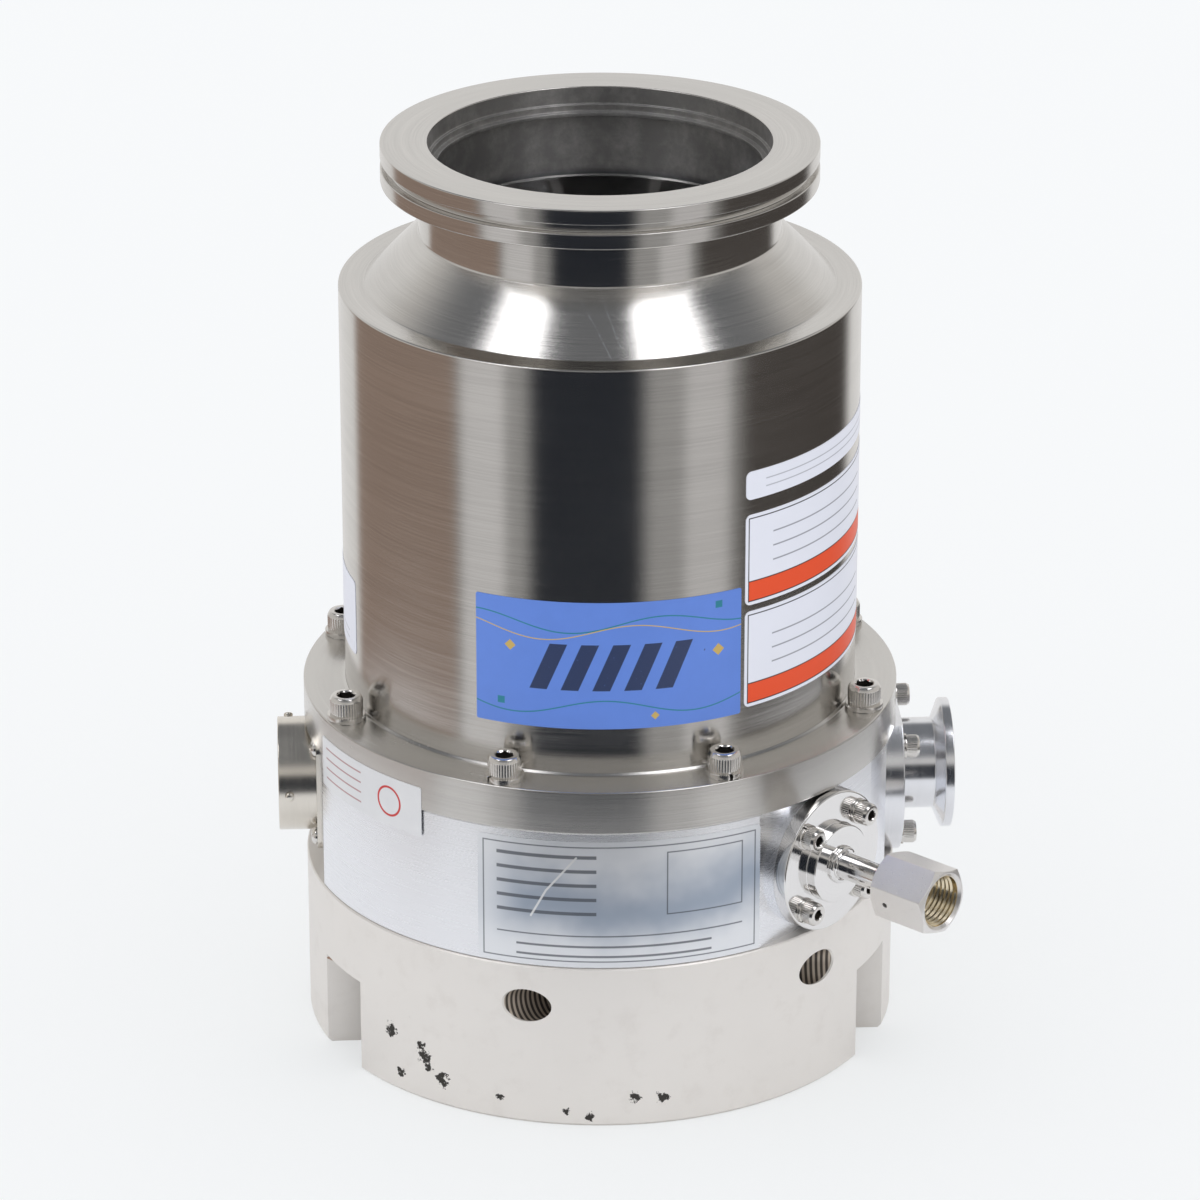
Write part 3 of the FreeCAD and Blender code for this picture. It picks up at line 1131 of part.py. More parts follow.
def purge_nut():
    """Female nut that turns on the gland, with a collar at its back and a leak-test hole."""
    inner_face = PURGE_DISC_FACE + PURGE_TUBE_LENGTH - HOLE_CLEARANCE
    low = inner_face - NUT_BACK_WALL
    high = low + NUT_LENGTH
    corner = NUT_WIDTH * HEX_CORNER / 2
    envelope = turned(
        [
            (0, low),
            (corner - NUT_CORNER_CHAMFER * 2, low),
            (corner, low + NUT_CORNER_CHAMFER),
            (corner, high - NUT_CORNER_CHAMFER),
            (corner - NUT_CORNER_CHAMFER * 2, high),
            (0, high),
        ]
    )
    nut = hexagon(NUT_WIDTH, low, high).common(envelope)
    nut = joined(nut, [disc(NUT_COLLAR_RADIUS, low - NUT_COLLAR_LENGTH, low + NUT_BACK_WALL)])
    leak_root = Vector(0, 0, low + NUT_LEAK_HOLE_PLACE)
    leak = Part.makeCylinder(NUT_LEAK_HOLE_RADIUS, NUT_WIDTH, leak_root, Vector(1, 0, 0))
    thread_start = inner_face + HOLE_CLEARANCE + PURGE_GLAND_LENGTH + HOLE_CLEARANCE
    cuts = [
        disc(PURGE_TUBE_RADIUS + HOLE_CLEARANCE, low - NUT_COLLAR_LENGTH - OVERSHOOT, high),
        disc(PURGE_GLAND_RADIUS + NUT_CHAMBER_FIT, inner_face, high),
        disc(NUT_THREAD_RADIUS, thread_start, high + OVERSHOOT),
        at_azimuth(leak, NUT_LEAK_FLAT),
    ]
    nut = at_azimuth(without(nut, cuts), NUT_TURN)
    return at_port(nut, PURGE_AZIMUTH, PURGE_HEIGHT)


def connector_shell():
    """Square plate and barrel with bayonet pins."""
    half = CONNECTOR_PLATE_SIDE / 2
    plate = Part.makeBox(CONNECTOR_PLATE_SIDE, CONNECTOR_PLATE_SIDE, CONNECTOR_PLATE_THICKNESS)
    plate.translate(Vector(-half, -half, CONNECTOR_FLAT))
    upright = [edge for edge in plate.Edges if abs(edge.tangentAt(edge.FirstParameter).z) > SOCKET_RATIO]
    plate = plate.makeFillet(CONNECTOR_PLATE_CORNER, upright)
    barrel = disc(CONNECTOR_BARREL_RADIUS, CONNECTOR_FLAT, CONNECTOR_END)
    pin_length = CONNECTOR_BARREL_WALL / 2 + BAYONET_PIN_HEIGHT
    pin_depth = CONNECTOR_BARREL_WALL / 2 - CONNECTOR_BARREL_RADIUS
    pin_root = Vector(0, pin_depth, CONNECTOR_END - BAYONET_PIN_SETBACK)
    pin = Part.makeCylinder(BAYONET_PIN_RADIUS, pin_length, pin_root, Vector(0, -1, 0))
    shell = joined(plate, [barrel] + around(pin, BAYONET_PIN_COUNT, BAYONET_PIN_START + QUARTER_TURN * 2))
    inner = CONNECTOR_BARREL_RADIUS - CONNECTOR_BARREL_WALL
    cuts = [disc(inner, CONNECTOR_FLAT - OVERSHOOT, CONNECTOR_END + OVERSHOOT)]
    radius = CONNECTOR_SCREW_SIZE / 2 + HOLE_CLEARANCE
    high = CONNECTOR_PLATE_FACE + OVERSHOOT
    cuts += port_screw_holes(CONNECTOR_SCREWS, radius, CONNECTOR_FLAT - OVERSHOOT, high)
    return at_port(without(shell, cuts), CONNECTOR_AZIMUTH, CONNECTOR_HEIGHT)


def contact_places():
    """Places of the contacts, ring by ring."""
    places = []
    for radius, count in zip(CONTACT_RING_RADII, CONTACT_RING_COUNTS):
        places += circle_places(radius, count, 0.0)
    return places


def connector_insert():
    """Insulating insert that holds the contacts."""
    face = CONNECTOR_END - INSERT_DEPTH
    radius = CONNECTOR_BARREL_RADIUS - CONNECTOR_BARREL_WALL - RUNNING_FIT
    insert = disc(radius, face - INSERT_THICKNESS, face)
    low = face - INSERT_THICKNESS - DRILL_ROOM
    holes = port_screw_holes(contact_places(), CONTACT_RADIUS, low, face + DRILL_ROOM)
    return at_port(without(insert, holes), CONNECTOR_AZIMUTH, CONNECTOR_HEIGHT)


def connector_pins():
    """Contacts of the connector."""
    face = CONNECTOR_END - INSERT_DEPTH
    pin = disc(CONTACT_RADIUS - RUNNING_FIT, face - INSERT_THICKNESS, face + CONTACT_LENGTH)
    seated = [moved(pin, x, y, 0) for x, y in contact_places()]
    return Part.makeCompound([at_port(pin, CONNECTOR_AZIMUTH, CONNECTOR_HEIGHT) for pin in seated])


def connector_screws():
    """Domed screws of the connector's plate."""
    head = CONNECTOR_SCREW_HEAD_RADIUS
    rise = CONNECTOR_SCREW_HEAD_HEIGHT
    length = CONNECTOR_SCREW_REACH + CONNECTOR_PLATE_THICKNESS
    shank = CONNECTOR_SCREW_SIZE / 2
    screw = turned(
        [
            (0, -length),
            (shank, -length),
            (shank, 0),
            (head, 0),
            (head, CONNECTOR_SCREW_HEAD_EDGE),
            (shank, rise),
            (0, rise),
        ]
    )
    screws = []
    for x, y in CONNECTOR_SCREWS:
        screws.append(at_port(moved(screw, x, y, CONNECTOR_PLATE_FACE), CONNECTOR_AZIMUTH, CONNECTOR_HEIGHT))
    return Part.makeCompound(screws)


def build_nodes():
    """Every piece of the pump by its name."""
    nodes = {
        "casing_flange": casing_flange(),
        "casing_barrel": casing_barrel(),
        "casing_head": casing_head(),
        "casing_bolts": casing_bolts(),
        "casing_spring_washers": casing_spring_washers(),
        "casing_o_ring": casing_o_ring(),
        "thread_stator": thread_stator(),
        "pump_body": pump_body(),
        "base_ring": base_ring(),
        "base_bolts": base_bolts(),
        "bottom_cover": bottom_cover(),
        "bottom_cover_screws": bottom_cover_screws(),
        "bottom_cover_o_ring": bottom_cover_o_ring(),
        "stator_column": stator_column(),
        "column_bolts": column_bolts(),
        "position_sensor_ring": position_sensor_ring(),
        "axial_magnet_lower": axial_magnet(LOWER_AXIAL, True),
        "axial_magnet_upper": axial_magnet(UPPER_AXIAL, False),
        "axial_magnet_coils": axial_magnet_coils(),
        "motor_windings": motor_windings(),
        "motor_magnet": motor_magnet(),
        "rotor": rotor(),
        "rotor_shaft": rotor_shaft(),
        "rotor_bolts": rotor_bolts(),
        "thrust_disc": thrust_disc(),
        "thrust_disc_nut": thrust_disc_nut(),
        "exhaust_port": exhaust_port(),
        "exhaust_port_screws": exhaust_port_screws(),
        "purge_flange": purge_flange(),
        "purge_flange_screws": purge_flange_screws(),
        "purge_spring_washers": purge_spring_washers(),
        "purge_nut": purge_nut(),
        "connector_shell": connector_shell(),
        "connector_insert": connector_insert(),
        "connector_pins": connector_pins(),
        "connector_screws": connector_screws(),
    }
    for index in range(len(STATOR_STAGES)):
        nodes[f"stator_disc_{index + 1}"] = stator_disc(index)
    for index in range(len(ROTOR_STAGES)):
        nodes[f"stator_spacer_{index + 1}"] = stator_spacer(index)
    motor_bore = SHAFT_RADIUS + MOTOR_MAGNET_WALL + MOTOR_GAP
    motor = (motor_bore, MOTOR_TEETH, MOTOR_TOOTH, MOTOR_HEIGHT, MOTOR_LENGTH)
    nodes["motor_stator_core"] = toothed_core(*motor)
    magnet_bore = SHAFT_RADIUS + RADIAL_MAGNET_GAP
    for side, height in (("lower", LOWER_MAGNET_HEIGHT), ("upper", UPPER_MAGNET_HEIGHT)):
        values = (magnet_bore, RADIAL_MAGNET_TEETH, RADIAL_MAGNET_TOOTH, height, RADIAL_MAGNET_LENGTH)
        nodes[f"{side}_radial_magnet_core"] = toothed_core(*values)
        nodes[f"{side}_radial_magnet_coils"] = tooth_coils(*values)
    upper_seat = COLUMN_TOP - UPPER_BEARING_WIDTH
    lower_seat = COVER_TOP + COVER_BOSS_HEIGHT - LOWER_BEARING_WIDTH
    bearings = {
        "upper": (UPPER_BEARING_BORE, UPPER_BEARING_RADIUS, UPPER_BEARING_WIDTH, upper_seat),
        "lower": (LOWER_BEARING_BORE, LOWER_BEARING_RADIUS, LOWER_BEARING_WIDTH, lower_seat),
    }
    for side, values in bearings.items():
        outer_ring, balls, inner_ring = touchdown_bearing(*values)
        nodes[f"{side}_touchdown_outer_ring"] = outer_ring
        nodes[f"{side}_touchdown_balls"] = balls
        nodes[f"{side}_touchdown_inner_ring"] = inner_ring
    nodes["exhaust_o_ring"] = seal_ring(
        EXHAUST_BORE_RADIUS + O_RING_MARGIN, EXHAUST_FLAT, EXHAUST_AZIMUTH, EXHAUST_HEIGHT
    )
    nodes["purge_o_ring"] = seal_ring(
        PURGE_TUBE_BORE + O_RING_MARGIN, PURGE_DISC_BACK, PURGE_AZIMUTH, PURGE_HEIGHT
    )
    return nodes


def main():
    os.makedirs("parts", exist_ok=True)
    for name, shape in build_nodes().items():
        shape.exportStep(f"parts/{name}.step")


main()
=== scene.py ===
import math

import bmesh
import bpy
from mathutils import Matrix, Vector


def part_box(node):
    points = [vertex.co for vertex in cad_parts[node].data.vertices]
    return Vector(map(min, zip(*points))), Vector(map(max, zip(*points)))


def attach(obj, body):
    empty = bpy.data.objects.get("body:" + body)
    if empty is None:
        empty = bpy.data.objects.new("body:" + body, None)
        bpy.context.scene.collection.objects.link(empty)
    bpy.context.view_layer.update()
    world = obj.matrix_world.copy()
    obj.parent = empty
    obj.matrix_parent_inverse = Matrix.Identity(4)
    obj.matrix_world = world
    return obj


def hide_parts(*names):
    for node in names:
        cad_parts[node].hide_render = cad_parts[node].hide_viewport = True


# Turbomolecular pump, in metres. +Z points up along the rotor axis, -Y is the front, +X the exhaust side.
# An azimuth is counted in degrees from the front towards +X. Outlines are (radius, height) in millimetres,
# and a third value rounds that corner.

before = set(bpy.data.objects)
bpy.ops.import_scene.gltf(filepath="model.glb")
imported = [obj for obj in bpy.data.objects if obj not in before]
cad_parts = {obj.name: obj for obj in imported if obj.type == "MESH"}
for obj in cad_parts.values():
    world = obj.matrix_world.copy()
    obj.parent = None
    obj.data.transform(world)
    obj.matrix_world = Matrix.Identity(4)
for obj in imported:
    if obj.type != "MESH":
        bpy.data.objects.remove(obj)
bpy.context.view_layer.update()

MM = 0.001
FULL_CIRCLE = 2 * math.pi
TURN_STEPS = 256
PORT_STEPS = 128
SMOOTH_ANGLE = math.radians(32)
CLOSE = 0.002 * MM
EDGE_BREAK = 0.3


def span(node):
    """Lowest and highest corner of a node, in millimetres."""
    low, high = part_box(node)
    return low / MM, high / MM


# Sizes of the casing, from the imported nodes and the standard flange
CASING_RADIUS = span("casing_barrel")[1].x
CASING_WALL = 4.0
CASING_BORE = CASING_RADIUS - CASING_WALL
BODY_TOP = span("casing_flange")[0].z
FLANGE_RADIUS = span("casing_flange")[1].x
FLANGE_TOP = span("casing_barrel")[0].z
SHOULDER = span("casing_barrel")[1].z
ROOF = span("casing_head")[0].z
INLET_FACE = span("casing_head")[1].z
CONE_RADIUS = CASING_RADIUS - 7.5
NECK_RADIUS = 54.0
NECK_BOTTOM = SHOULDER + CONE_RADIUS - NECK_RADIUS
INLET_RADIUS = 65.0
INLET_UNDERSIDE = INLET_FACE - 12.0
CLAMP_GROOVE_RADIUS = INLET_RADIUS - 2.5
CLAMP_GROOVE_TOP = INLET_FACE - 4.5
CLAMP_GROOVE_BOTTOM = CLAMP_GROOVE_TOP - 2.8
MOUTH_RADIUS = 51.0
MOUTH_FLOOR = INLET_FACE - 5.4
STEP_RADIUS = 50.0
STEP_FLOOR = MOUTH_FLOOR - 2.0
LIP_RADIUS = 48.3
LIP_UNDERSIDE = STEP_FLOOR - 1.2
THROAT_RADIUS = 50.4
THROAT_END = INLET_FACE - 26.0
CONE_BORE_START = (51.6, INLET_FACE - 28.9)
CONE_BORE_END = (70.26, ROOF)
BASE_TOP = span("base_ring")[1].z
BASE_RADIUS = span("base_ring")[1].y
BODY_RADIUS = span("pump_body")[1].y

# Screws and washers
KNURLS = 44
CASING_BOLT_COUNT = 8
CASING_BOLT_START = 22.5
CASING_BOLT_CIRCLE = 84.5
CASING_WASHER = 1.6
PORT_WASHER = 1.0

# Places of the ports, as azimuth and height of their axes
EXHAUST_PORT = (90.0, (span("exhaust_o_ring")[0].z + span("exhaust_o_ring")[1].z) / 2)
PURGE_PORT = (45.0, (BASE_TOP + BODY_TOP) / 2)
CONNECTOR_PORT = (-90.0, (span("connector_shell")[0].z + span("connector_shell")[1].z) / 2)

# Sizes of the exhaust port, measured outwards from the pump's axis
EXHAUST_SEAT = 85.6
EXHAUST_FACE = 91.9
EXHAUST_PIPE_END = 102.7
EXHAUST_RIM_START = 105.2
EXHAUST_END = 108.0
EXHAUST_BORE = 13.1
EXHAUST_PIPE_RADIUS = 14.0
EXHAUST_RIM_RADIUS = 20.0
EXHAUST_DISC_RADIUS = 26.5
EXHAUST_TOP = BODY_TOP - 0.5
EXHAUST_BOTTOM = BASE_TOP + 0.5
EXHAUST_SCREW_CIRCLE = 21.8
EXHAUST_SCREW_START = 52.0

# Sizes of the purge port and its nut
PURGE_SEAT = 88.6
PURGE_FACE = 93.2
PURGE_HUB_FACE = 96.6
PURGE_BORE = 2.3
PURGE_TUBE_RADIUS = 4.0
PURGE_HUB_RADIUS = 12.1
PURGE_DISC_RADIUS = 21.8
PURGE_SCREW_SPACING = 24.3
WELD_RADIUS = 5.4
WELD_HEIGHT = 1.5
GLAND_RADIUS = 6.3
GLAND_BACK = 118.3
GLAND_FACE = 123.3
NUT_WIDTH = 19.0
NUT_BACK = 115.5
NUT_LENGTH = 20.0
NUT_FRONT = NUT_BACK + NUT_LENGTH
NUT_CHAMBER = 118.0
NUT_THREAD_START = 123.6
NUT_TURN = -15.0
NUT_END_RADIUS = 9.2
NUT_EDGE_RADIUS = 11.2
NUT_CHAMFER = 1.15
NUT_BACK_BORE = 4.6
NUT_CHAMBER_RADIUS = 6.65
NUT_MOUTH_RADIUS = 8.7
COLLAR_BACK = 113.2
COLLAR_BORE = 4.15
COLLAR_RADIUS = 5.4
THREAD_ROOT = 7.9
THREAD_CREST = 7.25
THREAD_TURNS = 6
THREAD_PITCH = 1.55
LEAK_HOLE_RADIUS = 0.85
LEAK_HOLE_ANGLE = 195.0
LEAK_HOLE_PLACE = 120.9

# Sizes of the connector
PLATE_SEAT = 85.8
PLATE_FACE = 87.6
PLATE_SIDE = 37.4
PLATE_CORNER = 4.5
PLATE_HOLE_RADIUS = 17.0
BARREL_RADIUS = 17.45
BARREL_BORE = 15.95
BARREL_END = 99.2
BAYONET_PIN_PLACE = BARREL_END - 3.4
BAYONET_PIN_COUNT = 3
CONNECTOR_SCREW_SPACING = 29.4


# Modelling by hand: primitives shaped in edit mode


def pick_nothing():
    """Nothing stays selected, so that an operator acts on its own piece only."""
    for item in bpy.context.selected_objects:
        item.select_set(False)


def take(piece):
    """The piece alone is selected and active."""
    pick_nothing()
    piece.select_set(True)
    bpy.context.view_layer.objects.active = piece


def name_piece(name):
    """Name the primitive that was just added."""
    piece = bpy.context.active_object
    piece.name = name
    piece.data.name = name
    return piece


def select_points(piece, test):
    """In edit mode, select the vertices that pass a test of their place in millimetres."""
    bpy.ops.mesh.select_mode(type="VERT")
    bpy.ops.mesh.select_all(action="DESELECT")
    mesh = bmesh.from_edit_mesh(piece.data)
    for vertex in mesh.verts:
        if test(vertex.co / MM):
            vertex.select = True
    mesh.select_flush(True)
    bmesh.update_edit_mesh(piece.data)


def select_faces(piece, test):
    """In edit mode, select the faces that pass a test of their centre in millimetres and their normal."""
    bpy.ops.mesh.select_mode(type="FACE")
    bpy.ops.mesh.select_all(action="DESELECT")
    mesh = bmesh.from_edit_mesh(piece.data)
    for face in mesh.faces:
        if test(face.calc_center_median() / MM, face.normal):
            face.select = True
    bmesh.update_edit_mesh(piece.data)


def smooth(piece, angle=SMOOTH_ANGLE):
    """Round faces shade smoothly, and edges sharper than an angle stay sharp."""
    take(piece)
    bpy.ops.object.shade_smooth_by_angle(angle=angle)


def face_outwards(piece):
    """Merge double points and turn every face outwards."""
    take(piece)
    bpy.ops.object.mode_set(mode="EDIT")
    bpy.ops.mesh.select_all(action="SELECT")
    bpy.ops.mesh.remove_doubles(threshold=CLOSE)
    bpy.ops.mesh.normals_make_consistent(inside=False)
    bpy.ops.object.mode_set(mode="OBJECT")


def draw_outline(name, corners, closed):
    """Wire in the XZ plane, drawn corner by corner from one point."""
    pick_nothing()
    bpy.ops.mesh.primitive_plane_add(size=MM)
    piece = name_piece(name)
    bpy.ops.object.mode_set(mode="EDIT")
    bpy.ops.mesh.select_mode(type="VERT")
    bpy.ops.mesh.merge(type="CENTER")
    places = [Vector((corner[0], 0, corner[1])) * MM for corner in corners]
    bpy.ops.transform.translate(value=places[0])
    route = places[1:] + places[:1] if closed else places[1:]
    here = places[0]
    for place in route:
        bpy.ops.mesh.extrude_region_move(TRANSFORM_OT_translate={"value": place - here})
        here = place
    bpy.ops.mesh.select_all(action="SELECT")
    bpy.ops.mesh.remove_doubles(threshold=CLOSE)
    return piece


def round_corners(piece, corners, segments):
    """Round the corners of a drawn outline, each by its third value in millimetres."""
    for size in sorted({corner[2] for corner in corners if len(corner) > 2}):
        same = [corner for corner in corners if len(corner) > 2 and corner[2] == size]
        near = [Vector((corner[0], 0, corner[1])) for corner in same]
        select_points(piece, lambda place: any((place - corner).length < 0.01 for corner in near))
        bpy.ops.mesh.bevel(offset=size * MM, segments=segments, affect="VERTICES")


def turned(name, corners, closed=True, steps=TURN_STEPS, segments=3):
    """Piece turned about Z from the corners of its section."""
    piece = draw_outline(name, corners, closed)
    round_corners(piece, corners, segments)
    bpy.ops.mesh.select_mode(type="VERT")
    bpy.ops.mesh.select_all(action="SELECT")
    bpy.ops.mesh.spin(steps=steps, angle=FULL_CIRCLE, center=(0, 0, 0), axis=(0, 0, 1))
    bpy.ops.object.mode_set(mode="OBJECT")
    face_outwards(piece)
    smooth(piece)
    return piece


def apply_modifier(piece, kind, **settings):
    """Add a modifier with its settings and apply it."""
    take(piece)
    modifier = piece.modifiers.new(kind.title(), kind)
    for setting, value in settings.items():
        setattr(modifier, setting, value)
    bpy.ops.object.modifier_apply(modifier=modifier.name)


def break_edges(piece, width, segments, angle):
    """Round the edges sharper than an angle in degrees, by a width in millimetres."""
    settings = {"limit_method": "ANGLE", "angle_limit": math.radians(angle)}
    apply_modifier(piece, "BEVEL", width=width * MM, segments=segments, **settings)


def cut_away(piece, cutter, operation="DIFFERENCE"):
    """Cut a piece with another, which is used up."""
    apply_modifier(piece, "BOOLEAN", object=cutter, operation=operation, solver="EXACT")
    bpy.data.objects.remove(cutter)


def slice_off(piece, point, outwards):
    """Cut a piece flat at a point in millimetres, and drop what lies outwards of it."""
    take(piece)
    bpy.ops.object.mode_set(mode="EDIT")
    bpy.ops.mesh.select_all(action="SELECT")
    bpy.ops.mesh.bisect(plane_co=Vector(point) * MM, plane_no=outwards, use_fill=True, clear_outer=True)
    bpy.ops.object.mode_set(mode="OBJECT")


def place(piece, matrix):
    """Put a piece at its place, which goes into its mesh."""
    take(piece)
    piece.matrix_world = matrix @ piece.matrix_world
    bpy.ops.object.transform_apply(location=True, rotation=True, scale=True)


def copy_piece(source, name, matrix):
    """A copy with its own mesh at another place."""
    piece = source.copy()
    piece.data = source.data.copy()
    piece.name = name
    piece.data.name = name
    bpy.context.scene.collection.objects.link(piece)
    place(piece, matrix)
    return piece


def discard(piece):
    """Remove a pattern piece after its copies are made."""
    bpy.data.objects.remove(piece)


def join(piece, others):
    """Join other pieces to a piece."""
    take(piece)
    for other in others:
        other.select_set(True)
    bpy.ops.object.join()


def port_matrix(port, x=0.0, y=0.0, out=0.0):
    """Matrix that turns +Z to point outwards at a port, moved by millimetres across, up and outwards."""
    azimuth, height = port
    angle = math.radians(azimuth)
    across = Vector((math.cos(angle), math.sin(angle), 0))
    outwards = Vector((math.sin(angle), -math.cos(angle), 0))
    turn = Matrix((across, Vector((0, 0, 1)), outwards)).transposed().to_4x4()
    shift = Matrix.Translation(Vector((0, 0, height * MM)))
    return shift @ turn @ Matrix.Translation(Vector((x, y, out)) * MM)


# Material building blocks: small helpers and shared effect groups


def add(tree, kind, **inputs):
    """Add a node. Inputs are values, colours or sockets, by name, with spaces as underscores."""
    node = tree.nodes.new("ShaderNode" + kind)
    for key, value in inputs.items():
        feed(tree, node, key, value)
    return node


def feed(tree, node, key, value):
    """Set an input of a node to a value, or link a socket to it."""
    socket = node.inputs[key if isinstance(key, int) else key.replace("_", " ")]
    if isinstance(value, bpy.types.NodeSocket):
        tree.links.new(value, socket)
    else:
        socket.default_value = value


def calculate(tree, operation, first, second=0.0, third=0.0):
    """Result of a math node."""
    node = tree.nodes.new("ShaderNodeMath")
    node.operation = operation
    for index, value in enumerate((first, second, third)):
        feed(tree, node, index, value)
    return node.outputs[0]


def product(tree, *values):
    """All the values multiplied."""
    result = values[0]
    for value in values[1:]:
        result = calculate(tree, "MULTIPLY", result, value)
    return result


def largest(tree, *values):
    """The largest of the values."""
    result = values[0]
    for value in values[1:]:
        result = calculate(tree, "MAXIMUM", result, value)
    return result


def length_of(tree, x, y):
    """Length of a flat vector."""
    squares = calculate(tree, "ADD", product(tree, x, x), product(tree, y, y))
    return calculate(tree, "SQRT", squares)


def steps_between(tree, value, low, high, from_low=0.0, to_high=1.0):
    """Soft step of a value from one level to another."""
    node = tree.nodes.new("ShaderNodeMapRange")
    node.interpolation_type = "SMOOTHSTEP"
    inputs = {"Value": value, "From Min": low, "From Max": high, "To Min": from_low, "To Max": to_high}
    for key, item in inputs.items():
        feed(tree, node, key, item)
    return node.outputs[0]


def inside(tree, value, low, high, soft=0.12):
    """1 where a value lies between two limits."""
    above = steps_between(tree, value, low - soft, low + soft)
    below = steps_between(tree, value, high + soft, high - soft)
    return product(tree, above, below)


def blend(tree, share, first, second):
    """Mix of two colours."""
    node = tree.nodes.new("ShaderNodeMix")
    node.data_type = "RGBA"
    for key, item in ((0, share), (6, first), (7, second)):
        feed(tree, node, key, colour_of(item))
    return node.outputs[2]


def colour_of(item):
    """A colour of three values gets its fourth."""
    return item + (1.0,) if isinstance(item, tuple) and len(item) == 3 else item


def shade(colour, factor):
    """A colour made darker or lighter."""
    return tuple(min(1.0, value * factor) for value in colour)


def noise(tree, vector, scale, detail=3.0, rough=0.5):
    """Noise value at a scale in cells per metre."""
    return add(tree, "TexNoise", Vector=vector, Scale=scale, Detail=detail, Roughness=rough).outputs[0]


def new_group(name, inputs, outputs):
    """Effect group with named input values and outputs."""
    group = bpy.data.node_groups.new(name, "ShaderNodeTree")
    for label, kind, value in inputs:
        socket = group.interface.new_socket(name=label, in_out="INPUT", socket_type="NodeSocket" + kind)
        if value is not None:
            socket.default_value = value
    for label, kind in outputs:
        group.interface.new_socket(name=label, in_out="OUTPUT", socket_type="NodeSocket" + kind)
    return group, group.nodes.new("NodeGroupInput").outputs, group.nodes.new("NodeGroupOutput").inputs


def use_group(tree, group, **inputs):
    """Place an effect group in a material, with its own values."""
    node = tree.nodes.new("ShaderNodeGroup")
    node.node_tree = group
    for key, value in inputs.items():
        feed(tree, node, key, value)
    return node.outputs


def vector_math(tree, operation, first, second):
    """Node that combines two vectors."""
    node = tree.nodes.new("ShaderNodeVectorMath")
    node.operation = operation
    feed(tree, node, 0, first)
    feed(tree, node, 1, second)
    return node.outputs


def turning_group():
    """Fine lines that a lathe tool or abrasive leaves around an axis along Z."""
    group, given, result = new_group(
        "turning_lines",
        [("Vector", "Vector", None), ("Lines", "Float", 2600.0), ("Length", "Float", 26.0)],
        [("Lines", "Float"), ("Bands", "Float")],
    )
    x, y, z = add(group, "SeparateXYZ", Vector=given["Vector"]).outputs
    along = calculate(group, "MULTIPLY_ADD", length_of(group, x, y), -1.3, z)
    patterns = (
        ("Lines", given["Length"], given["Lines"], 4.0),
        ("Bands", 9.0, 130.0, 3.0),
    )
    for label, length, pitch, detail in patterns:
        across = product(group, x, length)
        deep = product(group, y, length)
        stretched = add(group, "CombineXYZ", X=across, Y=deep, Z=product(group, along, pitch))
        group.links.new(noise(group, stretched.outputs[0], 1.0, detail, 0.62), result[label])
    return group


def wear_group():
    """Cloudy handling marks, with fine scuffs in them."""
    group, given, result = new_group(
        "handling_marks",
        [("Vector", "Vector", None), ("Scale", "Float", 22.0)],
        [("Clouds", "Float"), ("Scuffs", "Float")],
    )
    scale = given["Scale"]
    vector = given["Vector"]
    group.links.new(noise(group, vector, scale, 4.0, 0.55), result["Clouds"])
    patches = steps_between(group, noise(group, vector, product(group, scale, 2.3), 5.0, 0.7), 0.56, 0.72)
    grain = steps_between(group, noise(group, vector, product(group, scale, 40.0), 3.0, 0.7), 0.45, 0.7)
    group.links.new(product(group, patches, grain), result["Scuffs"])
    return group


def pits_group():
    """Small dark pits at random places."""
    group, given, result = new_group(
        "pits",
        [
            ("Vector", "Vector", None),
            ("Scale", "Float", 160.0),
            ("Share", "Float", 0.1),
            ("Size", "Float", 0.12),
        ],
        [("Pits", "Float")],
    )
    jitter = add(group, "TexNoise", Scale=900.0, Vector=given["Vector"]).outputs[1]
    ragged = vector_math(group, "MULTIPLY", jitter, (0.8 * MM, 0.8 * MM, 0.8 * MM))
    moved = vector_math(group, "ADD", ragged[0], given["Vector"])
    cells = add(group, "TexVoronoi", Vector=moved[0], Scale=given["Scale"])
    pick = add(group, "SeparateColor", Color=cells.outputs["Color"]).outputs
    chosen = calculate(group, "LESS_THAN", pick[0], given["Share"])
    size = product(group, given["Size"], calculate(group, "ADD", pick[1], 0.4))
    near = steps_between(group, cells.outputs["Distance"], size, product(group, size, 0.55))
    group.links.new(product(group, chosen, near), result["Pits"])
    return group


def unrolled_group():
    """Surface about the pump's axis laid flat: arc length from the front and height, in millimetres."""
    group, given, result = new_group(
        "unrolled",
        [("Vector", "Vector", None), ("Radius", "Float", 78.0)],
        [("Place", "Vector")],
    )
    x, y, z = add(group, "SeparateXYZ", Vector=given["Vector"]).outputs
    azimuth = calculate(group, "ARCTAN2", x, product(group, y, -1.0))
    flat = add(group, "CombineXYZ", X=product(group, azimuth, given["Radius"]), Y=product(group, z, 1 / MM))
    group.links.new(flat.outputs[0], result["Place"])
    return group


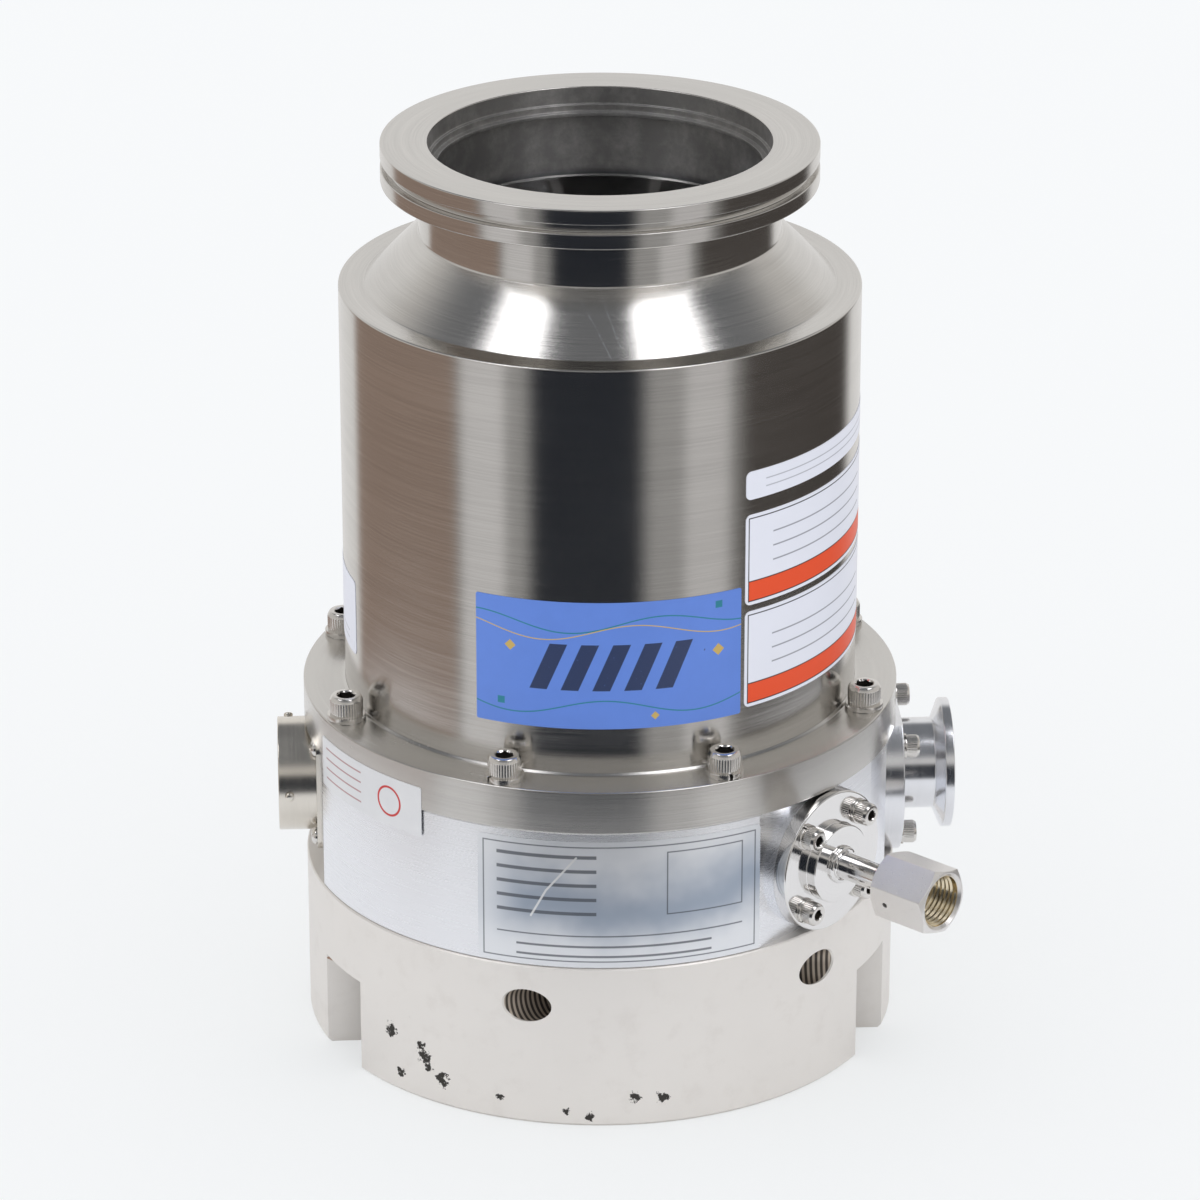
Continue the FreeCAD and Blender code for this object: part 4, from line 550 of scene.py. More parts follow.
def stroke_group():
    """Straight stroke between two places."""
    group, given, result = new_group(
        "stroke",
        [
            ("Place", "Vector", None),
            ("Start", "Vector", None),
            ("Run", "Vector", None),
            ("Width", "Float", 0.3),
        ],
        [("Mask", "Float")],
    )
    offset = vector_math(group, "SUBTRACT", given["Place"], given["Start"])[0]
    reach = calculate(
        group,
        "DIVIDE",
        vector_math(group, "DOT_PRODUCT", offset, given["Run"])[1],
        vector_math(group, "DOT_PRODUCT", given["Run"], given["Run"])[1],
    )
    along = calculate(group, "MINIMUM", calculate(group, "MAXIMUM", reach, 0.0), 1.0)
    spot = add(group, "CombineXYZ", X=along, Y=along, Z=along).outputs[0]
    nearest = vector_math(group, "MULTIPLY", given["Run"], spot)[0]
    gap = vector_math(group, "DISTANCE", offset, nearest)[1]
    mask = steps_between(group, gap, given["Width"], product(group, given["Width"], 0.4))
    group.links.new(mask, result["Mask"])
    return group


def spot_group():
    """Ragged cluster of pits about a place."""
    group, given, result = new_group(
        "spot",
        [("Place", "Vector", None), ("Centre", "Vector", None), ("Radius", "Float", 0.5)],
        [("Mask", "Float")],
    )
    gap = vector_math(group, "DISTANCE", given["Place"], given["Centre"])[1]
    near = calculate(group, "SUBTRACT", 1.0, calculate(group, "DIVIDE", gap, given["Radius"]))
    ragged = noise(group, given["Place"], 0.6, 6.0, 0.68)
    level = calculate(group, "MULTIPLY_ADD", near, 0.5, ragged)
    group.links.new(steps_between(group, level, 0.76, 0.80), result["Mask"])
    return group


TURNING = turning_group()
WEAR = wear_group()
PITS = pits_group()
UNROLLED = unrolled_group()
STROKE = stroke_group()
SPOT = spot_group()


def new_material(name):
    """Material, its node tree and its shader."""
    material = bpy.data.materials.new(name)
    material.use_nodes = True
    return material, material.node_tree, material.node_tree.nodes["Principled BSDF"]


def piece_coordinates(tree):
    """Object coordinates of a piece."""
    return tree.nodes.new("ShaderNodeTexCoord").outputs["Object"]


def about_port(tree, vector, port):
    """Coordinates in which a port's axis lies along Z."""
    back = port_matrix(port).inverted()
    node = add(tree, "Mapping", Vector=vector)
    node.inputs["Location"].default_value = back.to_translation()
    node.inputs["Rotation"].default_value = back.to_euler()
    return node.outputs[0]


def bump(tree, height, strength, distance=0.0002):
    """Normal from a height."""
    return add(tree, "Bump", Height=height, Strength=strength, Distance=distance).outputs[0]


def spots(tree, place, radius, marks):
    """Mask of ragged spots, each by azimuth, height and size, on a round surface."""
    masks = []
    for azimuth, height, size in marks:
        centre = (math.radians(azimuth) * radius, height, 0.0)
        masks.append(use_group(tree, SPOT, Place=place, Centre=centre, Radius=size)[0])
    return largest(tree, *masks)


def strokes(tree, place, radius, lines, width):
    """Mask of strokes that run from point to point, each by azimuth and height, on a round surface."""
    masks = []
    for line in lines:
        corners = [Vector((math.radians(azimuth) * radius, height, 0.0)) for azimuth, height in line]
        for start, end in zip(corners, corners[1:]):
            masks.append(use_group(tree, STROKE, Place=place, Start=start, Run=end - start, Width=width)[0])
    return largest(tree, *masks)


def turned_metal(
    name, colour, rough, port=None, lines=2600.0, length=26.0, grain=0.25, contrast=0.05, streak=0.7
):
    """Metal with fine turning lines about the pump's axis or a port's axis."""
    material, tree, shader = new_material(name)
    vector = piece_coordinates(tree)
    axis = about_port(tree, vector, port) if port else vector
    fine, wide = use_group(tree, TURNING, Vector=axis, Lines=lines, Length=length)
    clouds, scuffs = use_group(tree, WEAR, Vector=vector)
    tone = calculate(tree, "MULTIPLY_ADD", fine, 0.6, product(tree, wide, 0.4))
    darker = shade(colour, 1 - contrast * 2)
    lighter = shade(colour, 1 + contrast)
    base = blend(tree, steps_between(tree, tone, 0.3, 0.7), darker, lighter)
    feed(tree, shader, "Base Color", base)
    shader.inputs["Metallic"].default_value = 1.0
    level = calculate(tree, "MULTIPLY_ADD", calculate(tree, "SUBTRACT", fine, 0.5), 0.14, rough)
    level = calculate(tree, "MULTIPLY_ADD", calculate(tree, "SUBTRACT", clouds, 0.5), 0.08, level)
    feed(tree, shader, "Roughness", calculate(tree, "MULTIPLY_ADD", scuffs, 0.06, level))
    shader.inputs["Anisotropic"].default_value = streak
    shader.inputs["Anisotropic Rotation"].default_value = 0.25
    feed(tree, shader, "Normal", bump(tree, fine, grain, 0.00004))
    return material, base, level


def plain_metal(name, colour, rough, grain=0.12, scale=1400.0, variation=0.06, marks=1.0, metallic=1.0):
    """Metal with a fine even grain and handling marks."""
    material, tree, shader = new_material(name)
    vector = piece_coordinates(tree)
    clouds, scuffs = use_group(tree, WEAR, Vector=vector, Scale=38.0)
    fine = noise(tree, vector, scale, 3.0, 0.6)
    base = blend(tree, clouds, shade(colour, 1 - variation * 2), shade(colour, 1 + variation))
    feed(tree, shader, "Base Color", base)
    shader.inputs["Metallic"].default_value = metallic
    level = calculate(tree, "MULTIPLY_ADD", calculate(tree, "SUBTRACT", fine, 0.5), 0.14, rough)
    level = calculate(tree, "MULTIPLY_ADD", scuffs, 0.12 * marks, level)
    feed(tree, shader, "Roughness", level)
    feed(tree, shader, "Normal", bump(tree, fine, grain, 0.00005))
    return material, base, level


def plain_solid(name, colour, rough, variation=0.12, scale=600.0, grain=0.2, metallic=0.0):
    """Non-metal with a fine mottling."""
    material, tree, shader = new_material(name)
    vector = piece_coordinates(tree)
    fine = noise(tree, vector, scale, 4.0, 0.6)
    base = blend(tree, fine, shade(colour, 1 - variation), shade(colour, 1 + variation))
    feed(tree, shader, "Base Color", base)
    shader.inputs["Metallic"].default_value = metallic
    feed(tree, shader, "Roughness", calculate(tree, "MULTIPLY_ADD", fine, 0.15, rough))
    feed(tree, shader, "Normal", bump(tree, fine, grain, 0.0001))
    return material


def finish_faces(piece, material, other, test):
    """Give a piece a material, and another one to the faces that pass a test."""
    piece.data.materials.clear()
    piece.data.materials.append(material)
    piece.data.materials.append(other)
    take(piece)
    bpy.ops.object.mode_set(mode="EDIT")
    select_faces(piece, test)
    piece.active_material_index = 1
    bpy.ops.object.material_slot_assign()
    bpy.ops.object.mode_set(mode="OBJECT")


def dress(piece, material, body="housing", nodes=()):
    """Give a piece its body, the nodes it replaces and, unless it has one, its material.

    Its large faces keep their own normals beside the rounded edges."""
    apply_modifier(piece, "WEIGHTED_NORMAL", mode="FACE_AREA", keep_sharp=True)
    if material:
        piece.data.materials.clear()
        piece.data.materials.append(material)
    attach(piece, body)
    if nodes:
        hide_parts(*nodes)


def repaint(finish, change):
    """Add marks to a finish. The change is given tree, place on the surface, colour and roughness."""
    material, base, level = finish
    tree = material.node_tree
    shader = tree.nodes["Principled BSDF"]
    vector = piece_coordinates(tree)
    base, level = change(tree, vector, base, level)
    feed(tree, shader, "Base Color", base)
    feed(tree, shader, "Roughness", level)
    return material


def mark_casing(tree, vector, base, level):
    """Dark specks on the barrel, a scuff on the cone, and the dusty grey inside of the mouth, darkened
    further down by painted shade.
    """
    place = use_group(tree, UNROLLED, Vector=vector, Radius=CASING_RADIUS)[0]
    x, y, z = add(tree, "SeparateXYZ", Vector=vector).outputs
    radius = length_of(tree, x, y)
    specks = use_group(tree, PITS, Vector=vector, Scale=90.0, Share=0.05, Size=0.045)[0]
    base = blend(tree, product(tree, specks, 0.5), base, (0.10, 0.095, 0.09))
    scuff = strokes(tree, place, CASING_RADIUS, CONE_SCUFF, 0.35)
    rubbed = steps_between(tree, noise(tree, vector, 900.0, 3.0, 0.7), 0.4, 0.6)
    base = blend(tree, product(tree, scuff, rubbed, 0.7), base, (0.9, 0.9, 0.9))
    throat = product(
        tree,
        steps_between(tree, radius, (MOUTH_RADIUS + 0.3) * MM, (MOUTH_RADIUS + 0.1) * MM),
        steps_between(tree, z, (INLET_FACE - 0.2) * MM, (INLET_FACE - 0.5) * MM),
    )
    # Painted shade: the throat's inside is darkened further down, between the THROAT_SHADE heights.
    deep = steps_between(tree, z, THROAT_SHADE[0] * MM, THROAT_SHADE[1] * MM)
    dust = steps_between(tree, noise(tree, vector, 60.0, 6.0, 0.75), 0.4, 0.75)
    grey = blend(tree, dust, (0.34, 0.335, 0.33), (0.56, 0.55, 0.54))
    grey = blend(tree, product(tree, deep, 0.75), grey, (0.09, 0.095, 0.10))
    return blend(tree, throat, base, grey), calculate(tree, "MULTIPLY_ADD", throat, 0.3, level)


def mark_base(tree, vector, base, level):
    """Pits and rust on the plated base, brown pockets in its channel, and in its water bores painted shade
    crossed by brownish painted highlights along thread lines.
    """
    place = use_group(tree, UNROLLED, Vector=vector, Radius=BASE_RADIUS)[0]
    x, y, z = add(tree, "SeparateXYZ", Vector=vector).outputs
    mottling = steps_between(tree, noise(tree, vector, 130.0, 5.0, 0.6), 0.5, 0.75)
    base = blend(tree, product(tree, mottling, 0.14), base, (0.60, 0.55, 0.50))
    pits = spots(tree, place, BASE_RADIUS, BASE_PITS)
    small = use_group(tree, PITS, Vector=vector, Scale=230.0, Share=0.05, Size=0.10)[0]
    foot = steps_between(tree, noise(tree, vector, 26.0, 3.0, 0.6), 0.48, 0.6)
    low = calculate(tree, "MAXIMUM", steps_between(tree, z, 22 * MM, 2 * MM), 0.08)
    small = product(tree, small, low, foot)
    base = blend(tree, largest(tree, pits, product(tree, small, 0.8)), base, (0.06, 0.055, 0.05))
    rust = spots(tree, place, BASE_RADIUS, BASE_RUST)
    base = blend(tree, product(tree, rust, 0.8), base, (0.36, 0.17, 0.08))
    pocket = product(
        tree,
        inside(tree, calculate(tree, "ABSOLUTE", x), POCKET_ACROSS[0] * MM, POCKET_ACROSS[1] * MM, 0.1 * MM),
        inside(tree, z, POCKET_HEIGHTS[0] * MM, POCKET_HEIGHTS[1] * MM, 0.1 * MM),
        inside(tree, y, POCKET_DEPTHS[0] * MM, POCKET_DEPTHS[1] * MM, 0.1 * MM),
    )
    base = blend(tree, pocket, base, (0.45, 0.27, 0.17))
    bore = product(
        tree,
        steps_between(tree, length_of(tree, x, y), (BASE_RADIUS - 0.4) * MM, (BASE_RADIUS - 0.7) * MM),
        inside(tree, z, BORE_HEIGHTS[0] * MM, BORE_HEIGHTS[1] * MM, 0.1 * MM),
    )
    heading = math.radians(LEFT_BORE_HEADING)
    left_depth = calculate(tree, "MULTIPLY_ADD", x, math.sin(heading), product(tree, y, -math.cos(heading)))
    on_right = calculate(tree, "GREATER_THAN", x, 0.0)
    depth = calculate(tree, "MULTIPLY_ADD", on_right, calculate(tree, "SUBTRACT", x, left_depth), left_depth)
    # Water bores: painted shade, with brownish painted highlights along the thread lines.
    wave = calculate(tree, "SINE", product(tree, depth, FULL_CIRCLE / (BORE_PITCH * MM)))
    ridges = steps_between(tree, wave, -0.4, 0.6)
    painted_thread_shading = blend(tree, ridges, (0.07, 0.058, 0.05), (0.52, 0.45, 0.37))
    base = blend(tree, bore, base, painted_thread_shading)
    return base, calculate(tree, "MULTIPLY_ADD", pits, 0.3, level)


# Heights between which painted shade darkens the throat's inside
THROAT_SHADE = (256.0, 252.0)

# Marks by azimuth and height, and for a spot also its size
CONE_SCUFF = [
    [(-11.2, 254.0), (-8.7, 250.5), (-3.9, 243.9), (-0.6, 237.6)],
    [(-3.8, 254.2), (2.4, 238.9)],
]
BASE_PITS = [
    (-38.9, 14.9, 4.6),
    (-39.6, 18.0, 3.0),
    (-37.7, 12.1, 3.2),
    (-34.7, 9.0, 4.4),
    (-44.7, 6.5, 3.0),
    (-5.2, 3.3, 3.0),
    (3.5, 9.8, 3.2),
    (8.8, 9.0, 3.6),
    (-47.2, 19.3, 4.6),
    (-22.5, 7.5, 2.4),
    (-9.5, 5.0, 2.2),
]
BASE_RUST = [(-69.5, 28.2, 2.4)]

# Pockets of the base's channel and its water bores
POCKET_ACROSS = (57.8, 76.2)
POCKET_DEPTHS = (-30.5, -27.0)
POCKET_HEIGHTS = (20.8, 30.2)
BORE_HEIGHTS = (33.4, 45.6)
LEFT_BORE_HEADING = -63.0
BORE_PITCH = 1.6

STEEL = (0.68, 0.665, 0.64)
casing_steel = repaint(turned_metal("casing_steel", STEEL, 0.17, grain=0.3), mark_casing)
flange_steel = turned_metal("flange_steel", STEEL, 0.24, lines=5200.0, length=12.0, grain=0.2)[0]
screw_steel = plain_metal("screw_steel", (0.76, 0.74, 0.71), 0.19, grain=0.04, variation=0.03, marks=0.5)[0]
# Dark steel for the inside of the hexagon sockets: painted shade in the recess.
socket_painted_shade = plain_metal("socket_painted_shade", (0.20, 0.185, 0.17), 0.38, variation=0.15)[0]
body_aluminium = turned_metal(
    "body_aluminium", (0.90, 0.91, 0.94), 0.28, lines=4200.0, grain=0.05, contrast=0.008, streak=0.4
)[0]
nickel = repaint(plain_metal("nickel", (0.86, 0.83, 0.79), 0.42, metallic=0.55, variation=0.02), mark_base)
exhaust_aluminium = turned_metal(
    "exhaust_aluminium", (0.86, 0.87, 0.9), 0.17, port=EXHAUST_PORT, grain=0.15, contrast=0.03, streak=0.5
)[0]
purge_steel = turned_metal(
    "purge_steel", (0.84, 0.83, 0.82), 0.1, port=PURGE_PORT, grain=0.06, contrast=0.02, streak=0.4
)[0]
nut_nickel = plain_metal(
    "nut_nickel", (0.82, 0.80, 0.78), 0.3, grain=0.55, scale=1900.0, variation=0.04, metallic=0.85
)[0]
thread_brass = plain_metal("thread_brass", (0.84, 0.74, 0.54), 0.2)[0]
shell_steel = turned_metal(
    "shell_steel", (0.80, 0.76, 0.69), 0.2, port=CONNECTOR_PORT, grain=0.12, contrast=0.03, streak=0.5
)[0]
insert_black = plain_solid("insert_black", (0.02, 0.02, 0.022), 0.45)
contact_gold = plain_metal("contact_gold", (0.9, 0.66, 0.28), 0.2)[0]
machined_aluminium = turned_metal("machined_aluminium", (0.8, 0.8, 0.81), 0.3)[0]
bearing_steel = plain_metal("bearing_steel", (0.6, 0.6, 0.61), 0.16)[0]
magnet_black = plain_solid("magnet_black", (0.05, 0.05, 0.055), 0.4, metallic=0.6)
core_iron = plain_solid("core_iron", (0.25, 0.25, 0.26), 0.42, metallic=0.9)
copper = plain_metal("copper", (0.85, 0.45, 0.28), 0.3)[0]
resin = plain_solid("resin", (0.035, 0.03, 0.028), 0.5)
rubber = plain_solid("rubber", (0.02, 0.02, 0.02), 0.6)

NODE_FINISH = {
    "turned_stainless": casing_steel,
    "stainless_fastener": screw_steel,
    "polished_aluminium": body_aluminium,
    "nickel_plated_base": nickel,
    "bright_stainless": purge_steel,
    "satin_nickel_nut": nut_nickel,
    "connector_steel": shell_steel,
    "black_insert": insert_black,
    "gold_contact": contact_gold,
    "machined_aluminium": machined_aluminium,
    "bearing_steel": bearing_steel,
    "magnet_black": magnet_black,
    "core_iron": core_iron,
    "copper_winding": copper,
    "potting_resin": resin,
    "seal_rubber": rubber,
}

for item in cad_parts.values():
    for slot in item.material_slots:
        slot.material = NODE_FINISH[slot.material.name]


# Casing: head, barrel and bolt flange


def make_casing():
    """The turned casing in its three welded parts."""
    head = turned(
        "inlet_head",
        [
            (CASING_BORE, ROOF),
            (CASING_BORE, SHOULDER),
            (CONE_RADIUS, SHOULDER, 0.35),
            (NECK_RADIUS, NECK_BOTTOM, 0.5),
            (NECK_RADIUS, INLET_UNDERSIDE, 0.8),
            (INLET_RADIUS, INLET_UNDERSIDE, 0.6),
            (INLET_RADIUS, CLAMP_GROOVE_BOTTOM, EDGE_BREAK),
            (CLAMP_GROOVE_RADIUS, CLAMP_GROOVE_BOTTOM, EDGE_BREAK),
            (CLAMP_GROOVE_RADIUS, CLAMP_GROOVE_TOP, EDGE_BREAK),
            (INLET_RADIUS, CLAMP_GROOVE_TOP, EDGE_BREAK),
            (INLET_RADIUS, INLET_FACE, 0.4),
            (MOUTH_RADIUS, INLET_FACE, EDGE_BREAK),
            (MOUTH_RADIUS, MOUTH_FLOOR, EDGE_BREAK),
            (STEP_RADIUS, MOUTH_FLOOR, 0.25),
            (STEP_RADIUS, STEP_FLOOR, 0.25),
            (LIP_RADIUS, STEP_FLOOR, 0.25),
            (LIP_RADIUS, LIP_UNDERSIDE, 0.25),
            (THROAT_RADIUS, LIP_UNDERSIDE, EDGE_BREAK),
            (THROAT_RADIUS, THROAT_END, EDGE_BREAK),
            (*CONE_BORE_START, EDGE_BREAK),
            CONE_BORE_END,
        ],
    )
    barrel = turned(
        "casing_tube",
        [
            (CASING_BORE, FLANGE_TOP),
            (CASING_RADIUS, FLANGE_TOP),
            (CASING_RADIUS, SHOULDER, 0.6),
            (CASING_BORE, SHOULDER),
        ],
    )
    flange = turned(
        "bolt_flange",
        [
            (CASING_BORE, BODY_TOP),
            (FLANGE_RADIUS, BODY_TOP, 0.35),
            (FLANGE_RADIUS, FLANGE_TOP, 0.45),
            (CASING_RADIUS + 0.8, FLANGE_TOP, 0.2),
            (CASING_RADIUS, FLANGE_TOP + 0.7, 0.2),
            (CASING_RADIUS, FLANGE_TOP),
            (CASING_BORE, FLANGE_TOP),
        ],
    )
    dress(head, casing_steel, nodes=["casing_head"])
    dress(barrel, casing_steel, nodes=["casing_barrel"])
    dress(flange, flange_steel, nodes=["casing_flange"])


make_casing()


# Screws with knurled heads, and split spring washers


def socket_head(name, radius, height, socket_width, length, thread):
    """Socket head screw, seated at height 0, with a knurled head."""
    knurl_low = height * 0.16
    knurl_high = height * 0.76
    piece = turned(
        name,
        [
            (0.0, -length),
            (thread * 0.8, -length),
            (thread, -length + thread * 0.2),
            (thread, 0.0),
            (radius * 0.965, 0.0),
            (radius, knurl_low),
            (radius, knurl_high),
            (radius * 0.985, height * 0.8, height * 0.02),
            (radius * 0.86, height, height * 0.04),
            (0.0, height),
        ],
        closed=False,
        steps=KNURLS * 2,
        segments=2,
    )
    bpy.ops.object.mode_set(mode="EDIT")
    half_pitch = FULL_CIRCLE / (KNURLS * 2)

    def in_valley(spot):
        index = round(math.atan2(spot.y, spot.x) / half_pitch)
        on_band = knurl_low - 0.01 < spot.z < knurl_high + 0.01
        return on_band and index % 2 == 0 and spot.xy.length > radius * 0.99

    select_points(piece, in_valley)
    bpy.ops.transform.resize(value=(0.972, 0.972, 1), center_override=(0, 0, 0))
    bpy.ops.object.mode_set(mode="OBJECT")
    depth = height * 0.55
    pick_nothing()
    bpy.ops.mesh.primitive_cylinder_add(
        vertices=6,
        radius=socket_width / math.sqrt(3) * MM,
        depth=depth * 2 * MM,
        location=(0, 0, height * MM),
    )
    cut_away(piece, name_piece("socket_cutter"))
    pick_nothing()
    bpy.ops.mesh.primitive_cone_add(
        vertices=48,
        radius1=socket_width * 0.45 * MM,
        radius2=socket_width * 0.63 * MM,
        depth=height * 0.16 * MM,
        location=(0, 0, height * 0.95 * MM),
    )
    cut_away(piece, name_piece("countersink_cutter"))
    smooth(piece, math.radians(24))
    # The faces inside the socket get the darker material, which is painted shade.
    finish_faces(piece, screw_steel, socket_painted_shade, lambda spot, normal: in_socket(spot, socket_width, height))
    return piece


def in_socket(spot, socket_width, height):
    """Whether a place lies in the hexagon socket of a screw."""
    return spot.xy.length < socket_width * 0.56 and height * 0.3 < spot.z < height * 0.97


def split_washer(name, inner, outer, thickness):
    """Flattened spring washer with its split."""
    pick_nothing()
    bpy.ops.mesh.primitive_plane_add(size=1)
    piece = name_piece(name)
    bpy.ops.object.mode_set(mode="EDIT")
    bpy.ops.mesh.select_mode(type="VERT")
    bpy.ops.transform.rotate(value=-math.pi / 2, orient_axis="X", center_override=(0, 0, 0))
    bpy.ops.transform.resize(value=((outer - inner) * MM, 1, thickness * MM), center_override=(0, 0, 0))
    bpy.ops.transform.translate(value=((outer + inner) / 2 * MM, 0, thickness / 2 * MM))
    bpy.ops.mesh.spin(steps=64, angle=FULL_CIRCLE - 0.16, center=(0, 0, 0), axis=(0, 0, 1))
    bpy.ops.object.mode_set(mode="OBJECT")
    face_outwards(piece)
    break_edges(piece, 0.16, 2, 40)
    smooth(piece)
    return piece


def make_casing_bolts():
    """Eight bolts with their washers on the casing flange."""
    bolt = socket_head("bolt_pattern", radius=5.0, height=6.0, socket_width=5.0, length=27.0, thread=2.95)
    washer = split_washer("washer_pattern", inner=3.3, outer=5.8, thickness=CASING_WASHER)
    seat = Matrix.Translation(Vector((0, -CASING_BOLT_CIRCLE, FLANGE_TOP)) * MM)
    lift = Matrix.Translation(Vector((0, 0, CASING_WASHER)) * MM)
    for index in range(CASING_BOLT_COUNT):
        azimuth = math.radians(CASING_BOLT_START + 360 / CASING_BOLT_COUNT * index)
        spot = Matrix.Rotation(azimuth, 4, "Z") @ seat
        twist = Matrix.Rotation(math.radians(37.0 * index), 4, "Z")
        screw = copy_piece(bolt, f"casing_bolt_{index + 1}", spot @ lift @ twist)
        dress(screw, None, nodes=["casing_bolts"])
        split = Matrix.Rotation(math.radians(-100 + 47.0 * index), 4, "Z")
        ring = copy_piece(washer, f"casing_washer_{index + 1}", spot @ split)
        dress(ring, screw_steel, nodes=["casing_spring_washers"])
    discard(bolt)
    discard(washer)


make_casing_bolts()


def square_corners(side):
    """The four corners of a square about the middle."""
    half = side / 2
    return [(half, half), (-half, half), (-half, -half), (half, -half)]


def make_port_screws():
    """Screws of the exhaust and purge ports on their spring washers."""
    screw = socket_head(
        "port_screw_pattern", radius=3.5, height=4.0, socket_width=3.0, length=9.5, thread=1.95
    )
    washer = split_washer("port_washer_pattern", inner=2.3, outer=3.9, thickness=PORT_WASHER)
    circle = EXHAUST_SCREW_CIRCLE
    around = [math.radians(EXHAUST_SCREW_START + 90 * index) for index in range(4)]
    ports = (
        (
            "exhaust",
            EXHAUST_PORT,
            EXHAUST_FACE,
            [(circle * math.cos(angle), circle * math.sin(angle)) for angle in around],
            "exhaust_port_screws",
            "exhaust_port_screws",
        ),
        (
            "purge",
            PURGE_PORT,
            PURGE_FACE,
            square_corners(PURGE_SCREW_SPACING),
            "purge_flange_screws",
            "purge_spring_washers",
        ),
    )
    for label, port, face, places, screw_node, washer_node in ports:
        for index, (x, y) in enumerate(places):
            seat = port_matrix(port, x, y, face) @ Matrix.Rotation(1.9 * index, 4, "Z")
            lift = port_matrix(port, x, y, face + PORT_WASHER) @ Matrix.Rotation(0.7 * index, 4, "Z")
            ring = copy_piece(washer, f"{label}_washer_{index + 1}", seat)
            piece = copy_piece(screw, f"{label}_screw_{index + 1}", lift)
            dress(ring, screw_steel, nodes=[washer_node])
            dress(piece, None, nodes=[screw_node])
    discard(screw)
    discard(washer)


make_port_screws()


# Exhaust port, purge flange and nut


def make_exhaust():
    """Exhaust port: a disc cut flat above and below, a pipe and a small flange."""
    piece = turned(
        "exhaust_fitting",
        [
            (EXHAUST_BORE, EXHAUST_SEAT),
            (EXHAUST_DISC_RADIUS, EXHAUST_SEAT),
            (EXHAUST_DISC_RADIUS, EXHAUST_FACE, 0.4),
            (EXHAUST_PIPE_RADIUS, EXHAUST_FACE, 0.5),
            (EXHAUST_PIPE_RADIUS, EXHAUST_PIPE_END, EDGE_BREAK),
            (EXHAUST_RIM_RADIUS, EXHAUST_RIM_START, EDGE_BREAK),
            (EXHAUST_RIM_RADIUS, EXHAUST_END, EDGE_BREAK),
            (EXHAUST_BORE, EXHAUST_END, EDGE_BREAK),
        ],
        steps=PORT_STEPS,
    )
    height = EXHAUST_PORT[1]
    slice_off(piece, (0, EXHAUST_TOP - height, 0), (0, 1, 0))
    slice_off(piece, (0, EXHAUST_BOTTOM - height, 0), (0, -1, 0))
    face_outwards(piece)
    place(piece, port_matrix(EXHAUST_PORT))
    smooth(piece)
    dress(piece, exhaust_aluminium, nodes=["exhaust_port"])


def make_purge_flange():
    """Purge flange with hub, tube and gland turned in one, and a weld bead at the tube's root."""
    piece = turned(
        "purge_fitting",
        [
            (PURGE_BORE, PURGE_SEAT),
            (PURGE_DISC_RADIUS, PURGE_SEAT, 0.2),
            (PURGE_DISC_RADIUS, PURGE_FACE, 0.5),
            (PURGE_HUB_RADIUS, PURGE_FACE, EDGE_BREAK),
            (PURGE_HUB_RADIUS, PURGE_HUB_FACE, 0.35),
            (WELD_RADIUS, PURGE_HUB_FACE, 0.2),
            (PURGE_TUBE_RADIUS, PURGE_HUB_FACE + WELD_HEIGHT, EDGE_BREAK),
            (PURGE_TUBE_RADIUS, GLAND_BACK),
            (GLAND_RADIUS, GLAND_BACK),
            (GLAND_RADIUS, GLAND_FACE, 0.4),
            (PURGE_BORE, GLAND_FACE),
        ],
        steps=PORT_STEPS,
    )
    pick_nothing()
    bpy.ops.mesh.primitive_torus_add(
        location=(0, 0, (PURGE_HUB_FACE + 0.5) * MM),
        major_radius=4.9 * MM,
        minor_radius=0.95 * MM,
        major_segments=72,
        minor_segments=12,
    )
    bead = name_piece("weld_bead")
    bpy.ops.object.mode_set(mode="EDIT")
    bpy.ops.mesh.select_all(action="SELECT")
    bpy.ops.transform.vertex_random(offset=0.22 * MM, uniform=0.4, normal=0.6, seed=4)
    bpy.ops.mesh.vertices_smooth(factor=0.5, repeat=2)
    bpy.ops.object.mode_set(mode="OBJECT")
    bpy.ops.object.transform_apply(location=True, rotation=True, scale=True)
    smooth(bead, math.radians(60))
    join(piece, [bead])
    place(piece, port_matrix(PURGE_PORT))
    dress(piece, purge_steel, nodes=["purge_flange"])


